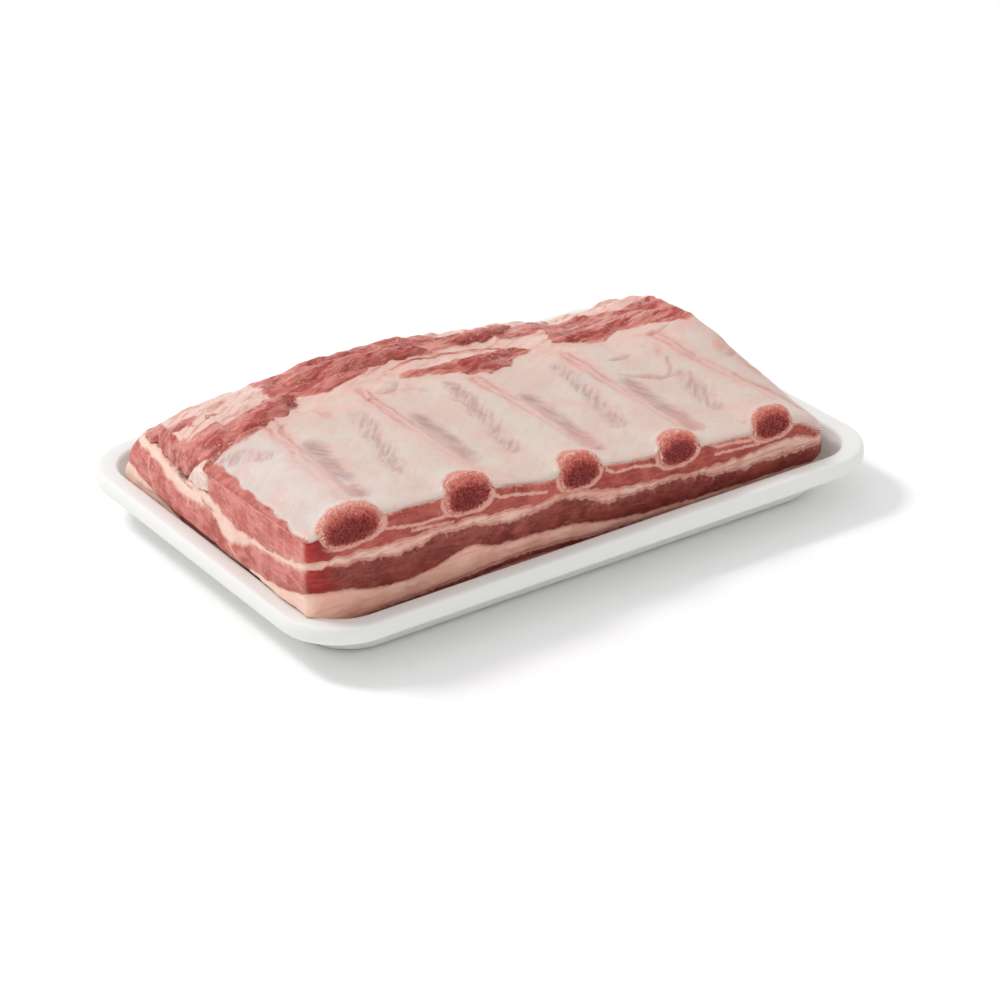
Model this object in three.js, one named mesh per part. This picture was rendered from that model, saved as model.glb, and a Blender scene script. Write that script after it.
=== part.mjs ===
// A raw, bone-in pork belly roast on a white foam tray. Millimetres, +Z up.
// The origin is the middle of the tray's underside. +X runs along the tray's long side, and the
// cut rib ends show on the long face at -Y. The slab lies skin side down, with the inside of the
// ribs up. Every layer that shows on the cut faces runs through the slab as a solid of its own.

import * as THREE from 'three';

// ---------------------------------------------------------------------------------------------
// Driving dimensions
// ---------------------------------------------------------------------------------------------

const GAP = 0.3;

const TRAY = {
  length: 207,
  width: 140,
  height: 17,
  corner: 20,
  floor: 3.5,
};

// Outline of the slab at mid height, in its own frame, with the radius of each upright corner.
// The slab lies a little to the right of the tray's middle.
const SLAB_SHIFT = 1.5;
const SLAB = {
  left: -97,
  right: 88,
  front: -58,
  back: 53,
  cornerFrontLeft: 2.5,
  cornerFrontRight: 8,
  cornerBackLeft: 3,
  cornerBackRight: 12,
};

// Below the tray's rim the slab draws in to its flat base, and its left corners get rounder by the
// last value. Higher up, the back and right faces lean in along a shallow arc, and so does the far
// end of the left face.
const BASE_DRAW_IN = { below: 15, inset: 8, power: 1.6, corner: 10 };
const BACK_LEAN = { above: 12, radius: 36 };
const RIGHT_LEAN = { above: 17, radius: 80 };
const LEFT_LEAN = { above: 14, radius: 28 };

// The near end of the left face stands further out, where the slab hangs over the tray's rim.
const LEFT_OVERHANG = { out: 3.5, from: 16, full: 18, reach: 10 };

// Each rib: where its cut end is on the front face, how far it drifts along X per mm of depth,
// half its width at the front, and how far its end stands above the meat beside it.
const RIBS = [
  { name: 'rib_bone_1', front: -84.4, drift: 0.053, half: 8.8, stands: 2.4 },
  { name: 'rib_bone_2', front: -46.6, drift: 0.03, half: 8.6, stands: 2.6 },
  { name: 'rib_bone_3', front: -7.2, drift: -0.02, half: 8.3, stands: 2.7 },
  { name: 'rib_bone_4', front: 29.6, drift: -0.04, half: 8.5, stands: 3.0 },
  { name: 'rib_bone_5', front: 66.4, drift: -0.05, half: 7.9, stands: 4.2 },
];
const RIB_BACK_TAPER = 0.72;
const RIB_CLEARANCE = 0.7;
const RIB_END_LENGTH = 7;
const RIB_RIDGE = { height: 0.9, ends: 12, fade: 20 };

const COVER_THICKNESS = 1.8;
const SKIN_FAT_BOTTOM = TRAY.floor + GAP;
const LOWER_LEAN_THICKNESS = 2.8;

// Heights along the front face as [x, z], and along the left face as [y, z]. Each pair follows one
// border between two layers round the near corner of the slab.
const LOWER_LEAN_TOP = {
  front: [[-97, 12.4], [-60, 13.8], [-28, 15.6], [10, 12.6], [88, 10]],
  left: [[-58, 12.4], [-52, 15.5], [-46, 17], [-30, 16.4], [-12, 13.2], [0, 11.8], [53, 12.8]],
};
const BELLY_FAT_TOP = {
  front: [[-97, 24.8], [-88, 23], [-77, 20.2], [-67, 19.3], [-58, 20.2], [-46, 23.3], [-38, 21],
    [-12, 19.2], [2, 16.8], [14, 15], [88, 12.6]],
  left: [[-58, 24.8], [-48, 21.6], [-30, 18.8], [-12, 16.3], [5, 14.2], [20, 14.6], [31, 17], [53, 21]],
};
const BELLY_LEAN_TOP = {
  front: [[-97, 32.2], [-88, 31.2], [-67, 29.1], [-57, 30.6], [-47, 30], [-28, 27], [-14, 28.8],
    [6, 22.8], [29, 23], [48, 19.7], [88, 18.4]],
  left: [[-58, 32.2], [-48, 30], [-30, 27.4], [-12, 21.8], [-1, 27], [8, 25.4], [20, 25], [38, 27.4],
    [53, 27.6]],
};
const RIB_FAT_TOP = {
  front: [[-97, 34.2], [-75, 32.6], [-50, 32.2], [-27, 30], [-11, 29.9], [10, 25.6], [40, 23.3],
    [56, 22.8], [72, 23.8], [88, 20.2]],
  left: [[-58, 34.2], [-48, 31.6], [-30, 28.6], [-17, 28], [-1, 31.2], [8, 30], [20, 29.2], [38, 30],
    [53, 29.6]],
};

// The top of the slab, without the rib ends: its edge lines on all four sides.
const TOP = {
  front: [[-97, 42], [-90, 43.2], [-77, 44.2], [-64, 43.6], [-37, 41], [-23, 38.4], [0, 36.8],
    [17, 34.6], [37, 32.8], [55, 31.2], [74, 30.3], [88, 23]],
  back: [[-97, 28], [-87, 34], [-70, 37], [-56, 38], [-38, 41.3], [-16, 41.3], [0, 39],
    [25, 34.6], [41, 32], [57, 27.5], [77, 26.5], [88, 30]],
  left: [[-58, 42], [-46, 42.4], [-30, 41.4], [-15, 40.4], [0, 39], [20, 37.6], [36, 34.8], [53, 28]],
  right: [[-58, 23], [-45, 25.2], [-31, 28.3], [-12, 32.8], [-2, 36.2], [14, 37.6], [35, 36], [53, 30]],
};

// Distances behind the front face at which the layers are sampled.
const ROW_DEPTHS = [0, 5, 11, 20, 31, 42, 52, 58, 61.5, 64.5, 75, 87, 99, 111];

// The pale wedge of connective tissue on the left face, between the lean beside the first rib and
// the rough flank piece behind it: the Y of its front and back edge at its foot and at its top.
const WEDGE = { footFront: -1, footBack: 14, topFront: 1, topBack: 7 };

// Strips of flank lean that lie over the ribs along the back. Each is a path of
// [x, y, half width], with the height of the strip at its middle.
const FLANK_STRIPS = [
  {
    name: 'flank_strip_left',
    height: 3,
    path: [[-86, 13, 5], [-80, 14, 7.5], [-70, 18.5, 7], [-62, 23, 4.8], [-57.5, 23, 2.2]],
  },
  {
    name: 'flank_strip_back',
    height: 3,
    path: [[-60, 39, 5], [-52, 37, 8], [-38, 36, 8.5], [-22, 35, 7.5], [-10, 33, 5], [-3, 32, 1.6]],
  },
  {
    name: 'flank_tongue',
    height: 2.6,
    path: [[-12, 15.5, 1.5], [-5, 15, 3.5], [3, 13.8, 6.5], [12, 15.5, 5.5], [20, 18, 3.2], [27.5, 17.8, 1.2]],
  },
  {
    name: 'flank_roll',
    height: 3,
    path: [[6, 35, 2.2], [16, 38, 4.2], [27, 40, 4.6], [36, 42, 3.2]],
  },
  {
    name: 'flank_strip_right',
    height: 2.6,
    path: [[38, 20, 2.2], [46, 19, 4.8], [55, 21, 6.8], [67, 22.5, 6.8], [77, 21, 7], [83, 17.5, 4.5]],
  },
];
const STRIP_EDGE = 0.5;
const STRIP_CLEARANCE = 0.5;
const STRIP_STEPS = 10;
const STRIP_CELLS_ACROSS = 6;
const STRIP_CROWN = { across: 0.6, lengthways: 0.4 };

const COLOURS = {
  foam: 0xf1f1ee,
  fat: 0xe9c9b8,
  lean: 0xa8483f,
  darkLean: 0x8c3530,
  cover: 0xe2c6bd,
  bone: 0xa2473f,
  tissue: 0xdcc4ba,
};

// ---------------------------------------------------------------------------------------------
// Curves and closed skins
// ---------------------------------------------------------------------------------------------

const mix = (from, to, share) => from + (to - from) * share;
const clamp = (value, low, high) => Math.min(Math.max(value, low), high);

/** Smooth curve through [position, height] points that never swings past them. */
function profile(points) {
  const last = points.length - 1;
  const slope = (i) => (points[i + 1][1] - points[i][1]) / (points[i + 1][0] - points[i][0]);
  const tangents = points.map((point, i) => {
    const before = slope(Math.max(i - 1, 0));
    const after = slope(Math.min(i, last - 1));
    return before * after > 0 ? (2 * before * after) / (before + after) : 0;
  });
  return (position) => {
    const at = clamp(position, points[0][0], points[last][0]);
    let i = 0;
    while (i < last - 1 && at > points[i + 1][0]) i += 1;
    const span = points[i + 1][0] - points[i][0];
    const t = (at - points[i][0]) / span;
    const s = t * t * (3 - 2 * t);
    const startTurn = t * (1 - t) * (1 - t) * span * tangents[i];
    const endTurn = t * t * (1 - t) * span * tangents[i + 1];
    return mix(points[i][1], points[i + 1][1], s) + startTurn - endTurn;
  };
}

/** Mesh from a list of corner points and a list of triangles. */
function skin(points, triangles) {
  const geometry = new THREE.BufferGeometry();
  geometry.setAttribute('position', new THREE.Float32BufferAttribute(points.flat(), 3));
  geometry.setIndex(triangles);
  geometry.computeVertexNormals();
  return geometry;
}

/** Closed skin of a bent box. place(a, b, c) gives the point at whole steps along its three ways. */
function block(stepsA, stepsB, stepsC, place) {
  const points = [];
  const triangles = [];
  const found = new Map();
  const corner = (a, b, c) => {
    const key = `${a} ${b} ${c}`;
    if (!found.has(key)) {
      found.set(key, points.length);
      points.push(place(a, b, c));
    }
    return found.get(key);
  };
  // The four corners go round anticlockwise seen from outside, and the first joins the third.
  const patch = (p, q, r, s) => {
    triangles.push(p, q, r);
    triangles.push(p, r, s);
  };
  for (let a = 0; a < stepsA; a += 1) {
    for (let b = 0; b < stepsB; b += 1) {
      const c = stepsC;
      patch(corner(a, b, c), corner(a + 1, b, c), corner(a + 1, b + 1, c), corner(a, b + 1, c));
      patch(corner(a, b, 0), corner(a, b + 1, 0), corner(a + 1, b + 1, 0), corner(a + 1, b, 0));
    }
    for (let c = 0; c < stepsC; c += 1) {
      const b = stepsB;
      patch(corner(a, 0, c), corner(a + 1, 0, c), corner(a + 1, 0, c + 1), corner(a, 0, c + 1));
      patch(corner(a, b, c), corner(a, b, c + 1), corner(a + 1, b, c + 1), corner(a + 1, b, c));
    }
  }
  for (let b = 0; b < stepsB; b += 1) {
    for (let c = 0; c < stepsC; c += 1) {
      const a = stepsA;
      patch(corner(0, b, c), corner(0, b, c + 1), corner(0, b + 1, c + 1), corner(0, b + 1, c));
      patch(corner(a, b, c), corner(a, b + 1, c), corner(a, b + 1, c + 1), corner(a, b, c + 1));
    }
  }
  return skin(points, triangles);
}

/** Closed skin through a row of rings with equally many points, with a flat cap at both ends. */
function loft(rings) {
  const count = rings[0].length;
  const points = rings.flat();
  const triangles = [];
  for (let i = 0; i < rings.length - 1; i += 1) {
    for (let j = 0; j < count; j += 1) {
      const near = i * count + j;
      const next = i * count + ((j + 1) % count);
      triangles.push(near, next, next + count);
      triangles.push(near, next + count, near + count);
    }
  }
  const end = (rings.length - 1) * count;
  for (let j = 1; j < count - 1; j += 1) {
    triangles.push(0, j + 1, j);
    triangles.push(end, end + j, end + j + 1);
  }
  return skin(points, triangles);
}

const pack = new THREE.Group();
const slab = new THREE.Group();
slab.position.x = SLAB_SHIFT;
pack.add(slab);

function addPiece(group, name, geometry, colour, roughness) {
  const material = new THREE.MeshStandardMaterial({ color: colour, roughness, metalness: 0 });
  const mesh = new THREE.Mesh(geometry, material);
  mesh.name = name;
  group.add(mesh);
}

// ---------------------------------------------------------------------------------------------
// Foam tray: a rounded rectangle swept through the section of base, sloping wall and thick rim
// ---------------------------------------------------------------------------------------------

const CORNER_STEPS = 7;
// No corner of the section is tighter than this, which keeps the base in under the lip.
const SMALLEST_CORNER = 15;

function trayRing(inset, z) {
  const radius = Math.max(TRAY.corner - inset, SMALLEST_CORNER);
  const farX = TRAY.length / 2 - inset - radius;
  const farY = TRAY.width / 2 - inset - radius;
  const ring = [];
  for (let quarter = 0; quarter < 4; quarter += 1) {
    const sideX = quarter === 0 || quarter === 3 ? 1 : -1;
    const sideY = quarter < 2 ? 1 : -1;
    for (let step = 0; step <= CORNER_STEPS; step += 1) {
      const angle = (quarter + step / CORNER_STEPS) * (Math.PI / 2);
      ring.push([sideX * farX + radius * Math.cos(angle), sideY * farY + radius * Math.sin(angle), z]);
    }
  }
  return ring;
}

// [inset from the outer edge, height]: from the underside, out round the lip and down inside.
const TRAY_SECTION = [
  [16, 0], [13.8, 0.8], [12, 3], [4.8, 11.3], [1.2, 11.5], [0.2, 12.4], [0, 14], [0.3, 16],
  [1.4, TRAY.height], [5.2, TRAY.height], [6.3, 16.3], [7.2, 14.2], [11.6, 5.4], [13.4, 4],
  [16, TRAY.floor],
];

addPiece(pack, 'tray', loft(TRAY_SECTION.map(([inset, z]) => trayRing(inset, z))), COLOURS.foam, 0.75);

// ---------------------------------------------------------------------------------------------
// The slab's own grid: along runs 0 to 1 from left to right, depth 0 to 1 from front to back
// ---------------------------------------------------------------------------------------------

const SLAB_LENGTH = SLAB.right - SLAB.left;
const SLAB_DEPTH = SLAB.back - SLAB.front;

/** How far a round upright corner has drawn a face in, at a distance from the corner's far side. */
function cornerInset(distance, radius) {
  const short = Math.max(radius - distance, 0);
  return radius - Math.sqrt(radius * radius - Math.min(short, radius) ** 2);
}

// A corner of the grid sits halfway round the arc, this share of the radius in from both faces.
const ARC_MIDDLE = 1 - Math.SQRT1_2;

/** How far below the tray's rim a height is: 0 at the rim, 1 at the slab's flat base. */
const belowRim = (z) => clamp((BASE_DRAW_IN.below - z) / (BASE_DRAW_IN.below - SKIN_FAT_BOTTOM), 0, 1);

const baseInset = (z) => BASE_DRAW_IN.inset * belowRim(z) ** BASE_DRAW_IN.power;

const leanInset = (z, { above, radius }) => Math.max(z - above, 0) ** 2 / (2 * radius);

// Powers by which a face's inset dies away: every inset toward the far side of the slab, and the
// left face's lean also toward the front.
const INSET_REACH = 4;
const LEFT_LEAN_REACH = 3;

/** How far the near end of the left face hangs over the tray's rim, at a height. */
function leftOverhang(along, depth, z) {
  const { out, from, full, reach } = LEFT_OVERHANG;
  const t = clamp((z - from) / (full - from), 0, 1);
  return out * t * t * (3 - 2 * t) * (1 - depth) * (1 - along) ** reach;
}

/** Point of the slab at a share of its length and depth, and at height z. */
function slabPoint(along, depth, z) {
  const rounder = BASE_DRAW_IN.corner * Math.sqrt(belowRim(z));
  const frontLeft = SLAB.cornerFrontLeft + rounder;
  const frontRight = SLAB.cornerFrontRight;
  const backLeft = SLAB.cornerBackLeft + rounder;
  const backRight = SLAB.cornerBackRight;
  const yLeft = mix(SLAB.front + ARC_MIDDLE * frontLeft, SLAB.back - ARC_MIDDLE * backLeft, depth);
  const yRight = mix(SLAB.front + ARC_MIDDLE * frontRight, SLAB.back - ARC_MIDDLE * backRight, depth);
  const xFront = mix(SLAB.left + ARC_MIDDLE * frontLeft, SLAB.right - ARC_MIDDLE * frontRight, along);
  const xBack = mix(SLAB.left + ARC_MIDDLE * backLeft, SLAB.right - ARC_MIDDLE * backRight, along);
  const leftX = SLAB.left + cornerInset(yLeft - SLAB.front, frontLeft)
    + cornerInset(SLAB.back - yLeft, backLeft);
  const rightX = SLAB.right - cornerInset(yRight - SLAB.front, frontRight)
    - cornerInset(SLAB.back - yRight, backRight);
  const frontY = SLAB.front + cornerInset(xFront - SLAB.left, frontLeft)
    + cornerInset(SLAB.right - xFront, frontRight);
  const backY = SLAB.back - cornerInset(xBack - SLAB.left, backLeft)
    - cornerInset(SLAB.right - xBack, backRight);
  const base = baseInset(z);
  const left = base + leanInset(z, LEFT_LEAN) * depth ** LEFT_LEAN_REACH;
  const right = base + leanInset(z, RIGHT_LEAN);
  const back = base + leanInset(z, BACK_LEAN);
  const x = mix(leftX, rightX, along) + left * (1 - along) ** INSET_REACH - right * along ** INSET_REACH
    - leftOverhang(along, depth, z);
  const y = mix(frontY, backY, depth) + base * (1 - depth) ** INSET_REACH - back * depth ** INSET_REACH;
  return [x, y, z];
}

// Distance from the left face over which its own line of a border fades out.
const LEFT_LINE_FADE = 30;

/** Height of a border between two layers: the front line, and close to the left face the left one. */
function border(lines) {
  const front = profile(lines.front);
  const left = profile(lines.left);
  return (along, depth) => {
    const x = mix(SLAB.left, SLAB.right, along);
    const y = mix(SLAB.front, SLAB.back, depth);
    return front(x) + (left(y) - left(SLAB.front)) * Math.exp((SLAB.left - x) / LEFT_LINE_FADE);
  };
}

const ribAlong = (rib, depth) => (rib.front + rib.drift * depth * SLAB_DEPTH - SLAB.left) / SLAB_LENGTH;
const ribHalf = (rib, depth) => rib.half * mix(1, RIB_BACK_TAPER, depth);

const topFront = profile(TOP.front);
const topBack = profile(TOP.back);
const topLeft = profile(TOP.left);
const topRight = profile(TOP.right);

// Power by which the left and right edge lines of the top die away toward the middle, and the power
// that rounds the section of the humps over the ribs: 0.5 would be half an ellipse.
const TOP_EDGE_REACH = 3;
const HUMP_POWER = 0.7;

/** Height of the slab's top: its four edge lines blended, with a ridge and a raised end per rib. */
function slabTop(along, depth) {
  const x = mix(SLAB.left, SLAB.right, along);
  const y = mix(SLAB.front, SLAB.back, depth);
  const across = mix(topFront(x), topBack(x), depth);
  const leftOffset = topLeft(y) - mix(topFront(SLAB.left), topBack(SLAB.left), depth);
  const rightOffset = topRight(y) - mix(topFront(SLAB.right), topBack(SLAB.right), depth);
  let z = across + leftOffset * (1 - along) ** TOP_EDGE_REACH + rightOffset * along ** TOP_EDGE_REACH;
  for (const rib of RIBS) {
    const off = ((along - ribAlong(rib, depth)) * SLAB_LENGTH) / rib.half;
    const behind = y - SLAB.front;
    const end = rib.stands * Math.exp(-((behind / RIB_END_LENGTH) ** 2));
    const ridge = RIB_RIDGE.height * clamp((RIB_RIDGE.ends - y) / RIB_RIDGE.fade, 0, 1);
    z += (end + ridge) * Math.max(1 - off ** 2, 0) ** HUMP_POWER;
  }
  return z;
}

const lowerLeanTop = border(LOWER_LEAN_TOP);
const bellyFatTop = border(BELLY_FAT_TOP);
const bellyLeanTop = border(BELLY_LEAN_TOP);
const ribFatTop = border(RIB_FAT_TOP);
const coverUnderside = (along, depth) => slabTop(along, depth) - COVER_THICKNESS;

const rows = ROW_DEPTHS.map((distance) => distance / SLAB_DEPTH);

// The last line before the right end lies at this share of the way from the last rib to it.
const LAST_LINE = 0.7;

/** Lines across the slab: its two ends, the middle and sides of each rib, and halfway between. */
function gridLines(shares) {
  const lines = [() => 0];
  RIBS.forEach((rib, i) => {
    for (const share of shares) {
      lines.push((depth) => ribAlong(rib, depth) + (share * ribHalf(rib, depth)) / SLAB_LENGTH);
    }
    if (i + 1 < RIBS.length) {
      lines.push((depth) => (ribAlong(rib, depth) + ribAlong(RIBS[i + 1], depth)) / 2);
    }
  });
  lines.push((depth) => mix(ribAlong(RIBS[RIBS.length - 1], depth), 1, LAST_LINE));
  lines.push(() => 1);
  return lines;
}

/** One layer of the slab between two heights, cut into cells along the given lines. */
function layer(lines, bottom, top) {
  return block(lines.length - 1, rows.length - 1, 1, (a, b, c) => {
    const depth = rows[b];
    const along = lines[a](depth);
    const z = c === 0 ? bottom(along, depth) + GAP / 2 : top(along, depth) - GAP / 2;
    return slabPoint(along, depth, z);
  });
}

const coarseLines = gridLines([-1, 0, 1]);
const fineLines = gridLines([-1, -0.6, 0, 0.6, 1]);

// ---------------------------------------------------------------------------------------------
// Layers below the ribs, from the tray up
// ---------------------------------------------------------------------------------------------

const lowerLeanBottom = (along, depth) => lowerLeanTop(along, depth) - LOWER_LEAN_THICKNESS;

addPiece(
  slab,
  'skin_fat',
  layer(coarseLines, () => SKIN_FAT_BOTTOM, lowerLeanBottom),
  COLOURS.fat,
  0.5,
);
addPiece(slab, 'lower_lean', layer(coarseLines, lowerLeanBottom, lowerLeanTop), COLOURS.darkLean, 0.45);
addPiece(slab, 'belly_fat', layer(coarseLines, lowerLeanTop, bellyFatTop), COLOURS.fat, 0.5);
addPiece(slab, 'belly_lean', layer(coarseLines, bellyFatTop, bellyLeanTop), COLOURS.darkLean, 0.45);
addPiece(slab, 'rib_fat', layer(coarseLines, bellyLeanTop, ribFatTop), COLOURS.fat, 0.5);

// ---------------------------------------------------------------------------------------------
// Ribs, and the lean between them
// ---------------------------------------------------------------------------------------------

const RIB_SIDES = 12;
const RIB_SQUARENESS = 2.8;

/** Corner of a rib's section: a squarish oval between the two borders, with its angle from +X. */
function ribCorner(rib, depth, angle) {
  const power = 2 / RIB_SQUARENESS;
  const across = Math.sign(Math.cos(angle)) * Math.abs(Math.cos(angle)) ** power;
  const up = Math.sign(Math.sin(angle)) * Math.abs(Math.sin(angle)) ** power;
  const along = ribAlong(rib, depth) + (across * (ribHalf(rib, depth) - GAP)) / SLAB_LENGTH;
  const floor = ribFatTop(along, depth) + RIB_CLEARANCE;
  const roof = coverUnderside(along, depth) - RIB_CLEARANCE;
  return slabPoint(along, depth, mix(floor, roof, (1 + up) / 2));
}

for (const rib of RIBS) {
  const rings = rows.map((depth) => {
    const ring = [];
    for (let side = 0; side < RIB_SIDES; side += 1) {
      ring.push(ribCorner(rib, depth, (-2 * Math.PI * side) / RIB_SIDES));
    }
    return ring;
  });
  addPiece(slab, rib.name, loft(rings), COLOURS.bone, 0.6);
}

/** Piece of lean between two lines of the grid, from the rib fat up to the pale cover. */
function leanBetween(lineIndices) {
  const steps = 2;
  return block(lineIndices.length - 1, rows.length - 1, steps, (a, b, c) => {
    const depth = rows[b];
    const isFirst = a === 0 && lineIndices[a] > 0;
    const isLast = a === lineIndices.length - 1 && lineIndices[a] < coarseLines.length - 1;
    const side = (isFirst ? GAP : 0) - (isLast ? GAP : 0);
    const along = coarseLines[lineIndices[a]](depth) + side / SLAB_LENGTH;
    const bottom = ribFatTop(along, depth) + GAP / 2;
    const top = coverUnderside(along, depth) - GAP / 2;
    return slabPoint(along, depth, mix(bottom, top, c / steps));
  });
}

const LINES_PER_RIB = 4;
RIBS.forEach((rib, i) => {
  const right = LINES_PER_RIB * i + 3;
  addPiece(slab, `rib_lean_${i + 1}`, leanBetween([right, right + 1, right + 2]), COLOURS.lean, 0.45);
});

// ---------------------------------------------------------------------------------------------
// Beside the first rib on the left face: lean, a pale wedge of tissue, and the rough flank piece
// ---------------------------------------------------------------------------------------------

const BESIDE_CLEARANCE = 0.6;
const CHUNK_FROM_RIB = 1.4;
const depthAt = (y) => (y - SLAB.front) / SLAB_DEPTH;

/** Piece between the left face and the first rib. Its ends slant from y at the foot to y on top. */
function besideFirstRib(steps, startFoot, startTop, endFoot, endTop, roof, fromRib) {
  const levels = 2;
  return block(2, steps, levels, (a, b, c) => {
    const up = c / levels;
    const start = depthAt(mix(startFoot, startTop, up));
    const end = depthAt(mix(endFoot, endTop, up));
    const depth = mix(start, end, b / steps);
    const along = (coarseLines[1](depth) - fromRib / SLAB_LENGTH) * (a / 2);
    const bottom = ribFatTop(along, depth) + BESIDE_CLEARANCE;
    return slabPoint(along, depth, mix(bottom, roof(along, depth), up));
  });
}

const underCover = (along, depth) => coverUnderside(along, depth) - BESIDE_CLEARANCE;

addPiece(
  slab,
  'rib_lean_0',
  besideFirstRib(8, SLAB.front, SLAB.front, WEDGE.footFront - GAP, WEDGE.topFront - GAP, underCover, GAP),
  COLOURS.lean,
  0.45,
);
addPiece(
  slab,
  'tissue_wedge',
  besideFirstRib(2, WEDGE.footFront, WEDGE.topFront, WEDGE.footBack, WEDGE.topBack, underCover, GAP),
  COLOURS.tissue,
  0.5,
);
addPiece(
  slab,
  'flank_chunk',
  besideFirstRib(5, WEDGE.footBack + GAP, WEDGE.topBack + GAP, SLAB.back, SLAB.back, slabTop, CHUNK_FROM_RIB),
  COLOURS.lean,
  0.5,
);

// ---------------------------------------------------------------------------------------------
// Pearly membrane and fat over the ribs, left open over the flank piece at the back left
// ---------------------------------------------------------------------------------------------

const COVER_OPENS = { from: 4, to: 6.5 };
const COVER_EDGE = 0.9;

const coverLeft = (depth) => {
  const y = mix(SLAB.front, SLAB.back, depth);
  const open = clamp((y - COVER_OPENS.from) / (COVER_OPENS.to - COVER_OPENS.from), 0, 1);
  return open * (fineLines[1](depth) - COVER_EDGE / SLAB_LENGTH);
};
addPiece(
  slab,
  'rib_cover',
  layer([coverLeft, ...fineLines.slice(1)], coverUnderside, slabTop),
  COLOURS.cover,
  0.45,
);

// ---------------------------------------------------------------------------------------------
// Strips of flank lean on top, along the back
// ---------------------------------------------------------------------------------------------

/** Flat-bottomed lens along a path, thin at its edges and full in the middle. */
function strip({ path, height }) {
  const route = new THREE.CatmullRomCurve3(path.map(([x, y, half]) => new THREE.Vector3(x, y, half)));
  return block(STRIP_STEPS, STRIP_CELLS_ACROSS, 1, (a, b, c) => {
    const share = a / STRIP_STEPS;
    const middle = route.getPoint(share);
    const tangent = route.getTangent(share);
    const turn = Math.hypot(tangent.x, tangent.y);
    const side = (2 * b) / STRIP_CELLS_ACROSS - 1;
    const x = middle.x - (side * middle.z * tangent.y) / turn;
    const y = middle.y + (side * middle.z * tangent.x) / turn;
    const along = (x - SLAB.left) / SLAB_LENGTH;
    const depth = depthAt(y);
    const lengthways = Math.max(Math.sin(Math.PI * share), 0) ** STRIP_CROWN.lengthways;
    const crown = (1 - side ** 2) ** STRIP_CROWN.across * lengthways;
    const z = slabTop(along, depth) + STRIP_CLEARANCE + c * (STRIP_EDGE + height * crown);
    return slabPoint(along, depth, z);
  });
}

for (const piece of FLANK_STRIPS) {
  addPiece(slab, piece.name, strip(piece), COLOURS.lean, 0.45);
}

export default pack;
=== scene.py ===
import math

import bpy
import numpy as np
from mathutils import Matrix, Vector


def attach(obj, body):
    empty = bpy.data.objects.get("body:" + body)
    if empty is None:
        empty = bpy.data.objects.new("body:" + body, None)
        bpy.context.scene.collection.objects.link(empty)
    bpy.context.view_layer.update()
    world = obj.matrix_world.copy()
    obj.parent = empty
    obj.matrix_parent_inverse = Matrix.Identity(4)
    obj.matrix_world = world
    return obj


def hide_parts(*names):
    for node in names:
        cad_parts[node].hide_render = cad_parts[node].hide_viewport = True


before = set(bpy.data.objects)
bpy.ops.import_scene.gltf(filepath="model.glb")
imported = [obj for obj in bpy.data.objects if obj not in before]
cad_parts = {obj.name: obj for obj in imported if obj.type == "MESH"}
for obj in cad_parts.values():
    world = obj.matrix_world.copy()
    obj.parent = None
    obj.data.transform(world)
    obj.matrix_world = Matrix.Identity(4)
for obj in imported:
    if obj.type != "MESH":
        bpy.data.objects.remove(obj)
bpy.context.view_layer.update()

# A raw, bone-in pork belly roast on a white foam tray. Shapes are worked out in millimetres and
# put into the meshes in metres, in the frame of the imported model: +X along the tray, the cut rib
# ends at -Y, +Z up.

# ---------------------------------------------------------------------------------------------
# Studio: a white floor under one large soft light, high up behind the pack on the left, in an even
# white surround. The front face of the slab is in the shade.
# ---------------------------------------------------------------------------------------------

LENS = 106.226
NEAREST_SEEN = 0.01
CAMERA_PLACE = (-0.46102, -0.65901, 0.41907)
CAMERA_LOOKS = (0.5131, 0.7233, -0.4621)
KEY_PLACE = (-0.71, 0.77, 1.28)
KEY_SIZE, KEY_POWER = 0.34, 11.0
SURROUND_STRENGTH = 0.83
FLOOR_HALF = 4.0
FLOOR_DROP = 0.0001
LIT_POINT = Vector((0.0, 0.0, 0.02))


def linear(code):
    """Linear RGBA of an sRGB hex colour, by the sRGB curve."""
    share = np.array([int(code[i:i + 2], 16) for i in (1, 3, 5)]) / 255
    curve = np.where(share <= 0.04045, share / 12.92, ((share + 0.055) / 1.055) ** 2.4)
    return (*(float(v) for v in curve), 1.0)


def connect(tree, node, inputs):
    """Sets each of these inputs of a node, or links it where its value is a socket."""
    for name, value in inputs.items():
        if isinstance(value, bpy.types.NodeSocket):
            tree.links.new(value, node.inputs[name])
        else:
            node.inputs[name].default_value = value


def add(tree, kind, inputs=(), output=None, **settings):
    """Adds a node with its settings, and connects its inputs, given by name or in the order of the
    open ones. Gives the output of a name, or else the first open one."""
    made = tree.nodes.new("ShaderNode" + kind)
    for name, value in settings.items():
        setattr(made, name, value)
    if not isinstance(inputs, dict):
        inputs = dict(zip([i for i, socket in enumerate(made.inputs) if socket.enabled], inputs))
    connect(tree, made, inputs)
    return made.outputs[output] if output else next(s for s in made.outputs if s.enabled)


camera_data = bpy.data.cameras.new("camera")
camera_data.lens = LENS
camera_data.clip_start = NEAREST_SEEN
camera = bpy.data.objects.new("camera", camera_data)
camera.location = CAMERA_PLACE
camera.rotation_mode = "QUATERNION"
camera.rotation_quaternion = Vector(CAMERA_LOOKS).to_track_quat("-Z", "Y")
bpy.context.collection.objects.link(camera)
bpy.context.scene.camera = camera
bpy.context.scene.view_settings.view_transform = "Standard"

world = bpy.data.worlds.new("studio")
world.use_nodes = True
connect(world.node_tree, world.node_tree.nodes["Background"],
        {"Color": linear("#FFFFFF"), "Strength": SURROUND_STRENGTH})
bpy.context.scene.world = world

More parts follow.
